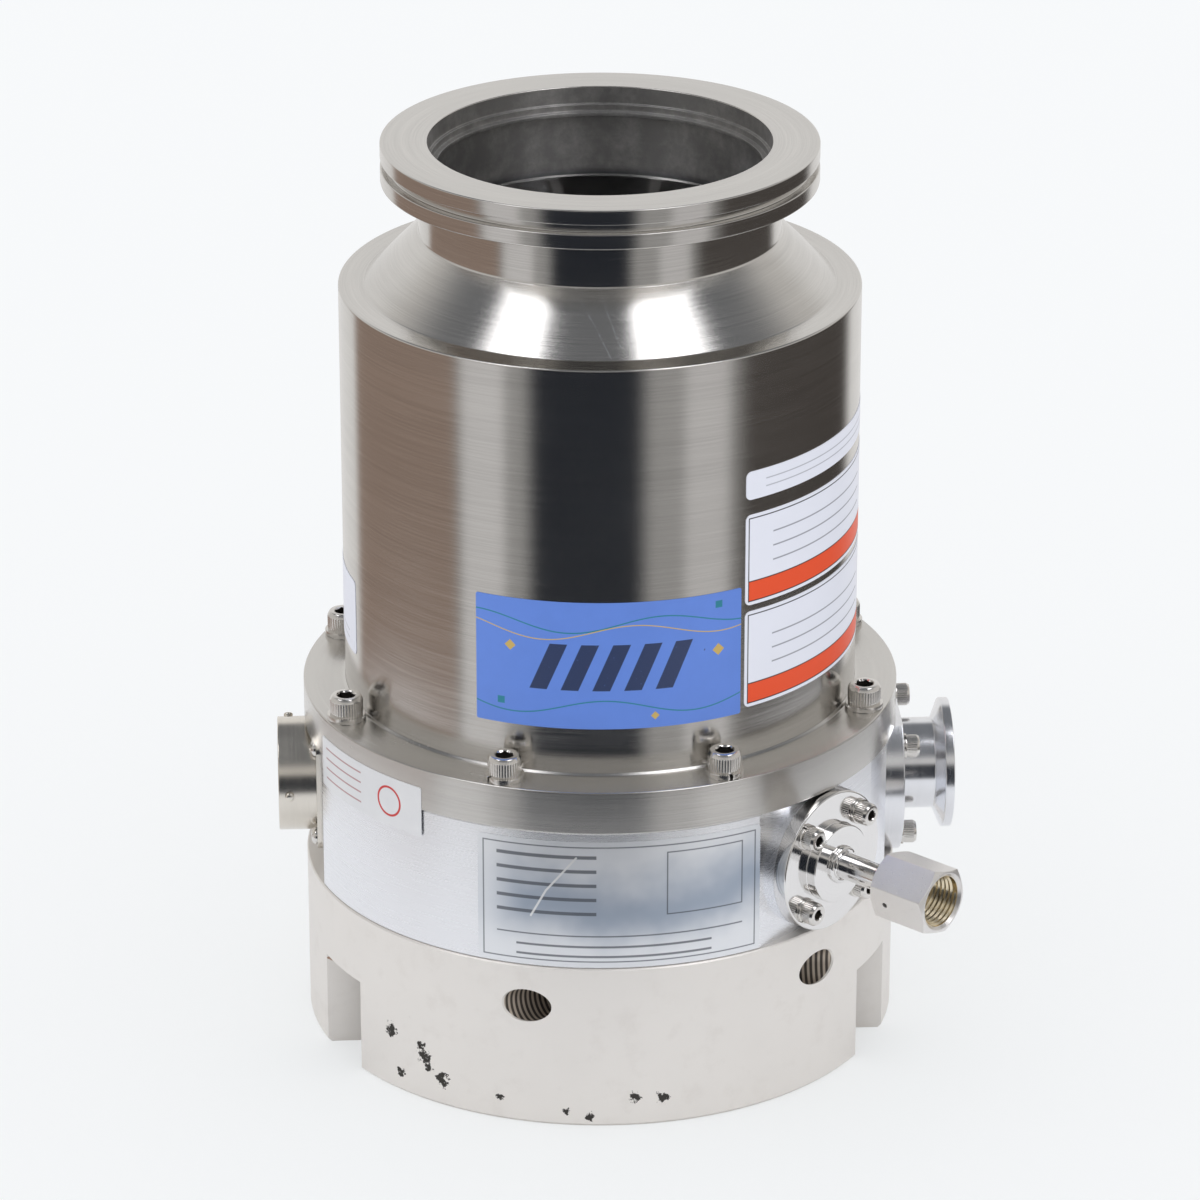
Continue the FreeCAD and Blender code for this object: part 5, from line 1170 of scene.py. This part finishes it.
def make_nut():
    """Hexagonal nut with turned ends, a chamber, a leak hole and a wide mouth."""
    pick_nothing()
    bpy.ops.mesh.primitive_cylinder_add(
        vertices=6,
        radius=NUT_WIDTH / math.sqrt(3) * MM,
        depth=NUT_LENGTH * MM,
        location=(0, 0, (NUT_BACK + NUT_LENGTH / 2) * MM),
        rotation=(0, 0, -math.radians(NUT_TURN)),
    )
    nut = name_piece("seal_nut")
    bpy.ops.object.transform_apply(location=True, rotation=True, scale=True)
    break_edges(nut, EDGE_BREAK, 3, 50)
    ends = turned(
        "nut_end_shape",
        [
            (0.0, NUT_BACK),
            (NUT_END_RADIUS, NUT_BACK, 0.2),
            (NUT_EDGE_RADIUS, NUT_BACK + NUT_CHAMFER),
            (NUT_EDGE_RADIUS, NUT_FRONT - NUT_CHAMFER),
            (NUT_END_RADIUS, NUT_FRONT, 0.2),
            (0.0, NUT_FRONT),
        ],
        closed=False,
        steps=PORT_STEPS,
    )
    cut_away(nut, ends, "INTERSECT")
    bore = turned(
        "nut_bore_shape",
        [
            (0.0, NUT_BACK - 2),
            (NUT_BACK_BORE, NUT_BACK - 2),
            (NUT_BACK_BORE, NUT_CHAMBER),
            (NUT_CHAMBER_RADIUS, NUT_CHAMBER),
            (NUT_CHAMBER_RADIUS, NUT_THREAD_START),
            (THREAD_ROOT, NUT_THREAD_START),
            (THREAD_ROOT, NUT_FRONT - 0.8),
            (NUT_MOUTH_RADIUS, NUT_FRONT + 0.05),
            (NUT_MOUTH_RADIUS, NUT_FRONT + 1),
            (0.0, NUT_FRONT + 1),
        ],
        closed=False,
        steps=PORT_STEPS,
    )
    cut_away(nut, bore)
    pick_nothing()
    bpy.ops.mesh.primitive_cylinder_add(
        vertices=32,
        radius=LEAK_HOLE_RADIUS * MM,
        depth=6 * MM,
        rotation=(0, math.pi / 2, 0),
    )
    drill = name_piece("leak_hole_drill")
    turn = Matrix.Rotation(math.radians(LEAK_HOLE_ANGLE), 4, "Z")
    place(drill, turn @ Matrix.Translation(Vector((NUT_WIDTH / 2, 0, LEAK_HOLE_PLACE)) * MM))
    cut_away(nut, drill)
    place(nut, port_matrix(PURGE_PORT))
    smooth(nut, math.radians(24))
    dress(nut, nut_nickel, body="purge_nut", nodes=["purge_nut"])


def make_nut_collar():
    """Collar at the back of the nut, on the tube."""
    collar = turned(
        "nut_collar",
        [
            (COLLAR_BORE, COLLAR_BACK, 0.15),
            (COLLAR_RADIUS, COLLAR_BACK, EDGE_BREAK),
            (COLLAR_RADIUS, NUT_BACK + 0.2),
            (COLLAR_BORE, NUT_BACK + 0.2),
        ],
        steps=PORT_STEPS,
    )
    place(collar, port_matrix(PURGE_PORT))
    dress(collar, purge_steel, body="purge_nut", nodes=["purge_nut"])


def make_nut_thread():
    """Thread ridge wound along the nut's bore, with the sleeve it stands on."""
    start = NUT_THREAD_START + 0.9
    foot = THREAD_ROOT - 0.05
    ridge = draw_outline(
        "nut_thread",
        [
            (foot, start - 0.7),
            (THREAD_CREST, start - 0.12),
            (THREAD_CREST, start + 0.12),
            (foot, start + 0.7),
        ],
        closed=True,
    )
    bpy.ops.object.mode_set(mode="OBJECT")
    apply_modifier(
        ridge,
        "SCREW",
        axis="Z",
        screw_offset=THREAD_PITCH * MM,
        angle=FULL_CIRCLE,
        iterations=THREAD_TURNS,
        steps=48,
        render_steps=48,
    )
    bpy.ops.object.mode_set(mode="EDIT")
    bpy.ops.mesh.select_mode(type="EDGE")
    bpy.ops.mesh.select_all(action="DESELECT")
    bpy.ops.mesh.select_non_manifold(extend=False)
    bpy.ops.mesh.fill_holes(sides=0)
    bpy.ops.object.mode_set(mode="OBJECT")
    face_outwards(ridge)
    sleeve = turned(
        "thread_sleeve",
        [
            (THREAD_ROOT - 0.12, NUT_THREAD_START + 0.02),
            (THREAD_ROOT + 0.02, NUT_THREAD_START + 0.02),
            (THREAD_ROOT + 0.02, NUT_FRONT - 0.85),
            (THREAD_ROOT - 0.12, NUT_FRONT - 0.85),
        ],
        steps=PORT_STEPS,
    )
    join(ridge, [sleeve])
    place(ridge, port_matrix(PURGE_PORT))
    smooth(ridge)
    dress(ridge, thread_brass, body="purge_nut", nodes=["purge_nut"])


make_exhaust()
make_purge_flange()
make_nut()
make_nut_thread()
make_nut_collar()


# Connector


def rounded_plate(name, side, corner, low, high):
    """Square plate with rounded corners between two heights."""
    pick_nothing()
    bpy.ops.mesh.primitive_plane_add(size=side * MM)
    piece = name_piece(name)
    bpy.ops.object.mode_set(mode="EDIT")
    bpy.ops.mesh.select_mode(type="VERT")
    bpy.ops.mesh.select_all(action="SELECT")
    bpy.ops.mesh.bevel(offset=corner * MM, segments=10, affect="VERTICES")
    bpy.ops.mesh.select_all(action="SELECT")
    bpy.ops.transform.translate(value=(0, 0, low * MM))
    bpy.ops.mesh.extrude_region_move(TRANSFORM_OT_translate={"value": (0, 0, (high - low) * MM)})
    bpy.ops.object.mode_set(mode="OBJECT")
    face_outwards(piece)
    break_edges(piece, 0.25, 2, 50)
    smooth(piece)
    return piece


def make_connector_shell():
    """Connector shell with its plate and bayonet pins."""
    plate = rounded_plate("connector_housing", PLATE_SIDE, PLATE_CORNER, PLATE_SEAT, PLATE_FACE)
    pick_nothing()
    bpy.ops.mesh.primitive_cylinder_add(
        vertices=PORT_STEPS,
        radius=PLATE_HOLE_RADIUS * MM,
        depth=8 * MM,
        location=(0, 0, PLATE_FACE * MM),
    )
    cut_away(plate, name_piece("plate_hole"))
    barrel = turned(
        "connector_barrel",
        [
            (BARREL_BORE, PLATE_SEAT),
            (BARREL_RADIUS, PLATE_SEAT),
            (BARREL_RADIUS, BARREL_END, 0.35),
            (BARREL_BORE, BARREL_END, 0.35),
        ],
        steps=PORT_STEPS,
    )
    parts = [barrel]
    pin = turned(
        "bayonet_pin",
        [(0.0, -0.5), (1.4, -0.5), (1.4, 0.9, 0.25), (0.8, 1.25, 0.2), (0.0, 1.3)],
        closed=False,
        steps=32,
    )
    on_barrel = Matrix.Translation(Vector((BARREL_RADIUS, 0, BAYONET_PIN_PLACE)) * MM)
    sideways = Matrix.Rotation(math.pi / 2, 4, "Y")
    for index in range(BAYONET_PIN_COUNT):
        turn = Matrix.Rotation(FULL_CIRCLE / BAYONET_PIN_COUNT * index, 4, "Z")
        parts.append(copy_piece(pin, f"bayonet_pin_{index + 1}", turn @ on_barrel @ sideways))
    discard(pin)
    join(plate, parts)
    place(plate, port_matrix(CONNECTOR_PORT))
    smooth(plate)
    dress(plate, shell_steel, nodes=["connector_shell"])


def make_connector_screws():
    """Four domed screws with a slot, at the corners of the plate."""
    screw = turned(
        "connector_screw_pattern",
        [
            (0.0, -5.5),
            (1.45, -5.5),
            (1.45, 0.0),
            (2.7, 0.0),
            (2.7, 0.6, 0.2),
            (2.2, 1.35, 0.5),
            (1.1, 1.8, 0.5),
            (0.0, 1.9),
        ],
        closed=False,
        steps=48,
    )
    pick_nothing()
    bpy.ops.mesh.primitive_cube_add(size=1, location=(0, 0, 1.9 * MM))
    slit = name_piece("slot_cutter")
    bpy.ops.transform.resize(value=(6 * MM, 0.75 * MM, 1.7 * MM))
    bpy.ops.object.transform_apply(location=True, rotation=True, scale=True)
    cut_away(screw, slit)
    for index, (x, y) in enumerate(square_corners(CONNECTOR_SCREW_SPACING)):
        seat = port_matrix(CONNECTOR_PORT, x, y, PLATE_FACE) @ Matrix.Rotation(0.8 + 0.9 * index, 4, "Z")
        piece = copy_piece(screw, f"connector_screw_{index + 1}", seat)
        smooth(piece)
        dress(piece, screw_steel, nodes=["connector_screws"])
    discard(screw)


make_connector_shell()
make_connector_screws()


# Labels and plates, each with a plain design


def curved_label(name, radius, left, right, low, high, corner, thickness=0.12):
    """Thin sheet with rounded corners, wrapped round the pump between two azimuths and heights."""
    arc = math.radians(right - left)
    length = arc * radius
    height = high - low
    pick_nothing()
    bpy.ops.mesh.primitive_plane_add(size=1)
    piece = name_piece(name)
    bpy.ops.object.mode_set(mode="EDIT")
    bpy.ops.transform.rotate(value=math.pi / 2, orient_axis="X", center_override=(0, 0, 0))
    bpy.ops.transform.resize(value=(length * MM, 1, height * MM), center_override=(0, 0, 0))
    bpy.ops.mesh.select_mode(type="VERT")
    bpy.ops.mesh.select_all(action="SELECT")
    bpy.ops.mesh.bevel(offset=corner * MM, segments=6, affect="VERTICES")
    strips = 40
    for index in range(1, strips):
        bpy.ops.mesh.select_all(action="SELECT")
        across = (index / strips - 0.5) * length * MM
        bpy.ops.mesh.bisect(plane_co=(across, 0, 0), plane_no=(1, 0, 0))
    bpy.ops.object.mode_set(mode="OBJECT")
    apply_modifier(piece, "SOLIDIFY", thickness=thickness * MM, offset=0.0)
    apply_modifier(piece, "SIMPLE_DEFORM", deform_method="BEND", deform_axis="Z", angle=arc)
    middle = math.radians((left + right) / 2)
    lift = Matrix.Translation(Vector((0, -radius, (low + high) / 2)) * MM)
    place(piece, Matrix.Rotation(middle, 4, "Z") @ lift)
    face_outwards(piece)
    smooth(piece, math.radians(20))
    return piece


def rectangle(tree, arc, height, left, right, low, high):
    """Mask of a rectangle in arc length and height."""
    return product(tree, inside(tree, arc, left, right), inside(tree, height, low, high))


def ruled_lines(tree, arc, height, left, right, heights, thickness):
    """Mask of short ruled lines."""
    masks = [rectangle(tree, arc, height, left, right, line, line + thickness) for line in heights]
    return largest(tree, *masks)


def label_finish(name, radius, rough, paint, metallic=0.0):
    """Printed sheet, painted by a function of tree, vector, arc length and height."""
    material, tree, shader = new_material(name)
    vector = piece_coordinates(tree)
    flat = use_group(tree, UNROLLED, Vector=vector, Radius=radius)[0]
    arc, height, _ = add(tree, "SeparateXYZ", Vector=flat).outputs
    feed(tree, shader, "Base Color", paint(tree, vector, arc, height))
    fine = noise(tree, vector, 900.0, 3.0, 0.6)
    feed(tree, shader, "Roughness", calculate(tree, "MULTIPLY_ADD", fine, 0.12, rough))
    shader.inputs["Metallic"].default_value = metallic
    feed(tree, shader, "Normal", bump(tree, noise(tree, vector, 160.0, 3.0, 0.6), 0.12, 0.0002))
    return material


def arc_at(azimuth, radius):
    """Arc length from the front to an azimuth."""
    return math.radians(azimuth) * radius


BLUE_LABEL = (CASING_RADIUS + 0.08, -30.75, 28.75, 124.8, 164.9)
WHITE_LABELS = [
    (29.75, 89.0, 191.8, 200.6, False),
    (29.75, 89.0, 158.6, 187.1, True),
    (29.75, 89.0, 126.1, 156.6, True),
    (-125.0, -73.0, 126.0, 150.0, False),
]
STICKER_MARGIN = 1.2
BAND_HEIGHT = 6.2
SEAL_LABEL = (FLANGE_RADIUS + 0.08, -69.95, -38.65, 88.0, 104.0)
NAMEPLATE = (BODY_RADIUS + 0.08, -26.65, 28.45, 53.1, 94.0)

NAVY = (0.022, 0.032, 0.075)
TEAL = (0.02, 0.22, 0.30)
GOLD = (0.60, 0.42, 0.12)
LABEL_BLUE = (0.115, 0.235, 0.68)
STICKER_WHITE = (0.80, 0.82, 0.90)
STICKER_ORANGE = (0.87, 0.085, 0.018)
INK = (0.02, 0.02, 0.022)


def paint_blue(tree, vector, arc, height):
    """Blue field with a row of slanted blades, two waves and a few small figures."""
    colour = blend(tree, noise(tree, vector, 120.0, 3.0, 0.6), LABEL_BLUE, shade(LABEL_BLUE, 1.12))
    waves = ((0.0, 157.6, TEAL, 0.28), (1.9, 131.4, TEAL, 0.28), (0.9, 155.2, GOLD, 0.22))
    for offset, level, ink, thickness in waves:
        swing = calculate(tree, "SINE", calculate(tree, "MULTIPLY_ADD", arc, 0.115, offset))
        line = calculate(tree, "MULTIPLY_ADD", swing, 2.4, level)
        gap = calculate(tree, "ABSOLUTE", calculate(tree, "SUBTRACT", height, line))
        colour = blend(tree, steps_between(tree, gap, thickness, thickness * 0.4), colour, ink)
    slanted = calculate(tree, "MULTIPLY_ADD", calculate(tree, "SUBTRACT", height, 144.5), -0.42, arc)
    worn = steps_between(tree, noise(tree, vector, 800.0, 4.0, 0.7), 0.62, 0.74, 0.92, 0.72)
    for index in range(5):
        left = -22.0 + 9.3 * index
        blade = rectangle(tree, slanted, height, left, left + 5.2, 137.0, 151.6)
        colour = blend(tree, product(tree, blade, worn), colour, NAVY)
    for spot, level, size in ((-31.0, 150.0, 1.7), (31.5, 147.0, 1.9), (12.0, 128.6, 1.3)):
        across = calculate(tree, "ABSOLUTE", calculate(tree, "SUBTRACT", arc, spot))
        up = calculate(tree, "ABSOLUTE", calculate(tree, "SUBTRACT", height, level))
        gap = calculate(tree, "ADD", across, up)
        colour = blend(tree, steps_between(tree, gap, size + 0.1, size - 0.1), colour, GOLD)
    for spot, level in ((-35.0, 131.0), (30.5, 160.2)):
        colour = blend(tree, rectangle(tree, arc, height, spot, spot + 2.2, level, level + 2.2), colour, TEAL)
    specks = use_group(tree, PITS, Vector=vector, Scale=260.0, Share=0.06, Size=0.08)[0]
    return blend(tree, specks, colour, (0.05, 0.05, 0.12))


def paint_white(tree, vector, arc, height):
    """White sticker with a thin frame, an orange band at its foot and plain ruled lines."""
    colour = blend(tree, noise(tree, vector, 40.0, 3.0, 0.6), STICKER_WHITE, shade(STICKER_WHITE, 1.06))
    for left_azimuth, right_azimuth, low, high, band in WHITE_LABELS:
        left = arc_at(left_azimuth, CASING_RADIUS) + STICKER_MARGIN
        right = arc_at(right_azimuth, CASING_RADIUS) - STICKER_MARGIN
        foot = low + STICKER_MARGIN
        if band:
            field = rectangle(tree, arc, height, left, right, foot, foot + BAND_HEIGHT)
            colour = blend(tree, field, colour, STICKER_ORANGE)
            outer = rectangle(tree, arc, height, left - 0.2, right + 0.2, foot - 0.2, high - 1.0)
            inner = rectangle(tree, arc, height, left + 0.15, right - 0.15, foot + 0.15, high - 1.35)
            edge = calculate(tree, "SUBTRACT", outer, inner)
            top = foot + BAND_HEIGHT
            line = rectangle(tree, arc, height, left, right, top - 0.15, top + 0.2)
            colour = blend(tree, largest(tree, edge, line), colour, INK)
            heights = [foot + 11, foot + 15.5, foot + 20]
            lines = ruled_lines(tree, arc, height, left + 9, right - 14, heights, 0.45)
            colour = blend(tree, product(tree, lines, 0.75), colour, (0.16, 0.17, 0.2))
        else:
            lines = ruled_lines(tree, arc, height, left + 6, right - 6, [low + 3.0, low + 5.4], 0.35)
            colour = blend(tree, product(tree, lines, 0.6), colour, (0.2, 0.21, 0.24))
    return colour


def paint_seal(tree, vector, arc, height):
    """Silvery seal with a plain red ring and ruled lines."""
    middle = arc_at((SEAL_LABEL[1] + SEAL_LABEL[2]) / 2, SEAL_LABEL[0]) + 12.0
    across = calculate(tree, "SUBTRACT", arc, middle)
    radius = length_of(tree, across, calculate(tree, "SUBTRACT", height, 96.0))
    colour = blend(tree, noise(tree, vector, 90.0, 3.0, 0.6), (0.72, 0.73, 0.75), (0.84, 0.85, 0.86))
    colour = blend(tree, inside(tree, radius, 4.2, 4.9), colour, (0.62, 0.05, 0.05))
    left = arc_at(SEAL_LABEL[1], SEAL_LABEL[0])
    lines = ruled_lines(tree, arc, height, left + 3, left + 24, [91.0, 94.2, 97.4, 100.6], 0.5)
    return blend(tree, product(tree, lines, 0.7), colour, (0.35, 0.06, 0.06))


def paint_nameplate(tree, vector, arc, height):
    """Foil plate with ruled lines, a ruled box, a dull middle and a long scratch."""
    radius, left_azimuth, right_azimuth, low, high = NAMEPLATE
    left = arc_at(left_azimuth, radius)
    right = arc_at(right_azimuth, radius)
    cloudy = calculate(tree, "MULTIPLY_ADD", noise(tree, vector, 22.0, 4.0, 0.6), 30.0, height)
    dull = inside(tree, cloudy, 80.0, 98.0, 9.0)
    dull = product(tree, dull, steps_between(tree, arc, left + 2, left + 16, 0.25, 1.0))
    colour = blend(tree, dull, (0.86, 0.88, 0.91), (0.40, 0.46, 0.55))
    frame_line = calculate(
        tree,
        "SUBTRACT",
        rectangle(tree, arc, height, left + 1.6, right - 1.6, low + 1.6, high - 1.6),
        rectangle(tree, arc, height, left + 2.0, right - 2.0, low + 2.0, high - 2.0),
    )
    rows = ruled_lines(tree, arc, height, left + 6, right - 6, [63.0], 0.45)
    short = ruled_lines(tree, arc, height, left + 6, left + 36, [70.0, 74.6, 79.2, 83.8, 88.4], 1.1)
    small = ruled_lines(tree, arc, height, left + 12, right - 16, [56.2, 59.4], 0.7)
    outer = rectangle(tree, arc, height, right - 30, right - 6, 69.5, 90.0)
    inner = rectangle(tree, arc, height, right - 29.6, right - 6.4, 69.9, 89.6)
    box = calculate(tree, "SUBTRACT", outer, inner)
    marks = largest(tree, frame_line, rows, largest(tree, short, small), box)
    colour = blend(tree, product(tree, marks, 0.8), colour, (0.10, 0.11, 0.13))
    place_on = add(tree, "CombineXYZ", X=arc, Y=height).outputs[0]
    scratch = strokes(tree, place_on, radius, [[(-7.6, 88.8), (-13.3, 77.8), (-16.2, 69.2)]], 0.45)
    return blend(tree, product(tree, scratch, 0.85), colour, (0.95, 0.95, 0.95))


def make_labels():
    """Labels on barrel, flange and body."""
    blue = curved_label("blue_label", *BLUE_LABEL, 0.6)
    dress(blue, label_finish("blue_print", CASING_RADIUS, 0.3, paint_blue))
    white_print = label_finish("white_print", CASING_RADIUS, 0.32, paint_white)
    for index, (*edges, _) in enumerate(WHITE_LABELS):
        sticker = curved_label(f"white_sticker_{index + 1}", CASING_RADIUS + 0.08, *edges, 1.8)
        dress(sticker, white_print)
    seal = curved_label("seal_sticker", *SEAL_LABEL, 0.8)
    seal_print = label_finish("seal_print", SEAL_LABEL[0], 0.3, paint_seal, metallic=0.3)
    dress(seal, seal_print)
    plate = curved_label("nameplate", *NAMEPLATE, 1.5)
    plate_print = label_finish("plate_print", NAMEPLATE[0], 0.26, paint_nameplate, metallic=0.85)
    dress(plate, plate_print)


make_labels()


# Floor, light and camera

# The floor shows in the metal up to this distance from the pump
FLOOR_GLOW = 0.32
FLOOR_WHITE = (0.955, 0.975, 0.98)
WALL = (0.60, 0.585, 0.565)
BACK_WALL = (0.80, 0.79, 0.78)
CEILING = (0.17, 0.175, 0.185)

# Sectors of the studio's wall: centre, half width, softness, sine of the top's elevation, colour
STUDIO_LOW = [
    (0.0, 80.0, 10.0, 0.0, (0.36, 0.355, 0.35)),
    (-104.5, 35.0, 8.0, 0.0, (0.30, 0.225, 0.185)),
    (99.0, 38.0, 14.0, 0.0, (0.07, 0.062, 0.057)),
    (-9.0, 25.0, 10.0, 0.38, (0.018, 0.021, 0.028)),
    (-56.0, 10.0, 6.0, 0.0, (0.66, 0.65, 0.65)),
    (45.0, 10.0, 6.0, 0.0, (0.60, 0.59, 0.59)),
]

# Soft boxes: centre, half width, elevation, half height, brightness
SOFT_BOXES = [
    (-68.0, 15.0, 60.0, 15.0, 3.0),
    (51.0, 22.0, 60.0, 15.0, 3.0),
]


def make_floor():
    """Plain pale floor that catches a soft shadow, and shows in the metal only near the pump."""
    pick_nothing()
    bpy.ops.mesh.primitive_plane_add(size=8.0)
    floor = name_piece("floor")
    material, tree, shader = new_material("floor_paint")
    shader.inputs["Base Color"].default_value = (0.93, 0.94, 0.945, 1)
    shader.inputs["Roughness"].default_value = 0.9
    shader.inputs["Specular IOR Level"].default_value = 0.0
    output = tree.nodes["Material Output"]
    path = tree.nodes.new("ShaderNodeLightPath")
    white = add(tree, "Emission", Color=FLOOR_WHITE + (1,), Strength=1.0)
    seen = tree.nodes.new("ShaderNodeMixShader")
    feed(tree, seen, 0, product(tree, path.outputs["Is Camera Ray"], 0.55))
    tree.links.new(shader.outputs[0], seen.inputs[1])
    tree.links.new(white.outputs[0], seen.inputs[2])
    clear = tree.nodes.new("ShaderNodeBsdfTransparent")
    x, y, _ = add(tree, "SeparateXYZ", Vector=piece_coordinates(tree)).outputs
    distance = length_of(tree, x, product(tree, y, 1.25))
    beyond = steps_between(tree, distance, FLOOR_GLOW - 0.03, FLOOR_GLOW + 0.03)
    last = tree.nodes.new("ShaderNodeMixShader")
    feed(tree, last, 0, product(tree, beyond, path.outputs["Is Glossy Ray"]))
    tree.links.new(seen.outputs[0], last.inputs[1])
    tree.links.new(clear.outputs[0], last.inputs[2])
    tree.links.new(last.outputs[0], output.inputs["Surface"])
    floor.data.materials.append(material)


def sector(tree, heading, centre, half_width, softness=6.0):
    """1 inside a sector of directions about the vertical axis, with soft sides, all in degrees."""
    offset = calculate(tree, "COSINE", calculate(tree, "SUBTRACT", heading, math.radians(centre)))
    outside = math.cos(math.radians(half_width + softness / 2))
    within = math.cos(math.radians(max(0.1, half_width - softness / 2)))
    return steps_between(tree, offset, outside, within)


def make_studio():
    """World: white for the camera, even for the light, and dark flags and soft boxes in the metal."""
    world = bpy.data.worlds.new("studio")
    bpy.context.scene.world = world
    world.use_nodes = True
    tree = world.node_tree
    background = tree.nodes["Background"]
    direction = tree.nodes.new("ShaderNodeTexCoord").outputs["Generated"]
    x, y, z = add(tree, "SeparateXYZ", Vector=direction).outputs
    heading = calculate(tree, "ARCTAN2", x, product(tree, y, -1.0))
    colour = blend(tree, sector(tree, heading, 180.0, 45.0, 20.0), WALL, BACK_WALL)
    for centre, half_width, softness, top, tint in STUDIO_LOW:
        low = steps_between(tree, z, top, top - 0.12)
        share = product(tree, sector(tree, heading, centre, half_width, softness), low)
        colour = blend(tree, share, colour, tint)
    colour = blend(tree, steps_between(tree, z, 0.45, 0.72), colour, CEILING)
    rise = calculate(tree, "ARCSINE", z)
    for centre, half_width, middle, half_height, level in SOFT_BOXES:
        across = sector(tree, heading, centre, half_width, 4.0)
        offset = calculate(tree, "ABSOLUTE", calculate(tree, "SUBTRACT", rise, math.radians(middle)))
        up = steps_between(tree, offset, math.radians(half_height + 2), math.radians(half_height - 2))
        colour = blend(tree, product(tree, across, up), colour, (level, level, level * 1.03))
    path = tree.nodes.new("ShaderNodeLightPath")
    lit = blend(tree, path.outputs["Is Glossy Ray"], (0.98, 0.98, 1.0), colour)
    backdrop = blend(tree, steps_between(tree, z, -0.2, 0.15), FLOOR_WHITE, (0.95, 0.98, 0.99))
    tree.links.new(blend(tree, path.outputs["Is Camera Ray"], lit, backdrop), background.inputs["Color"])
    background.inputs["Strength"].default_value = 1.0


CAMERA_PLACE = (-0.0862, -1.5670, 0.7984)
CAMERA_TARGET = (0.0, 0.0, 0.13284)
CAMERA_LENS = 167.64
SENSOR_WIDTH = 36.0


def make_camera():
    """Camera at the height and distance fitted to the photograph's ellipses."""
    bpy.ops.object.camera_add(location=CAMERA_PLACE)
    camera = bpy.context.active_object
    camera.name = "camera"
    camera.data.lens = CAMERA_LENS
    camera.data.sensor_width = SENSOR_WIDTH
    sight = Vector(CAMERA_TARGET) - Vector(CAMERA_PLACE)
    camera.rotation_euler = sight.to_track_quat("-Z", "Y").to_euler()
    bpy.context.scene.camera = camera


make_floor()
make_studio()
make_camera()
bpy.context.scene.view_settings.view_transform = "Standard"
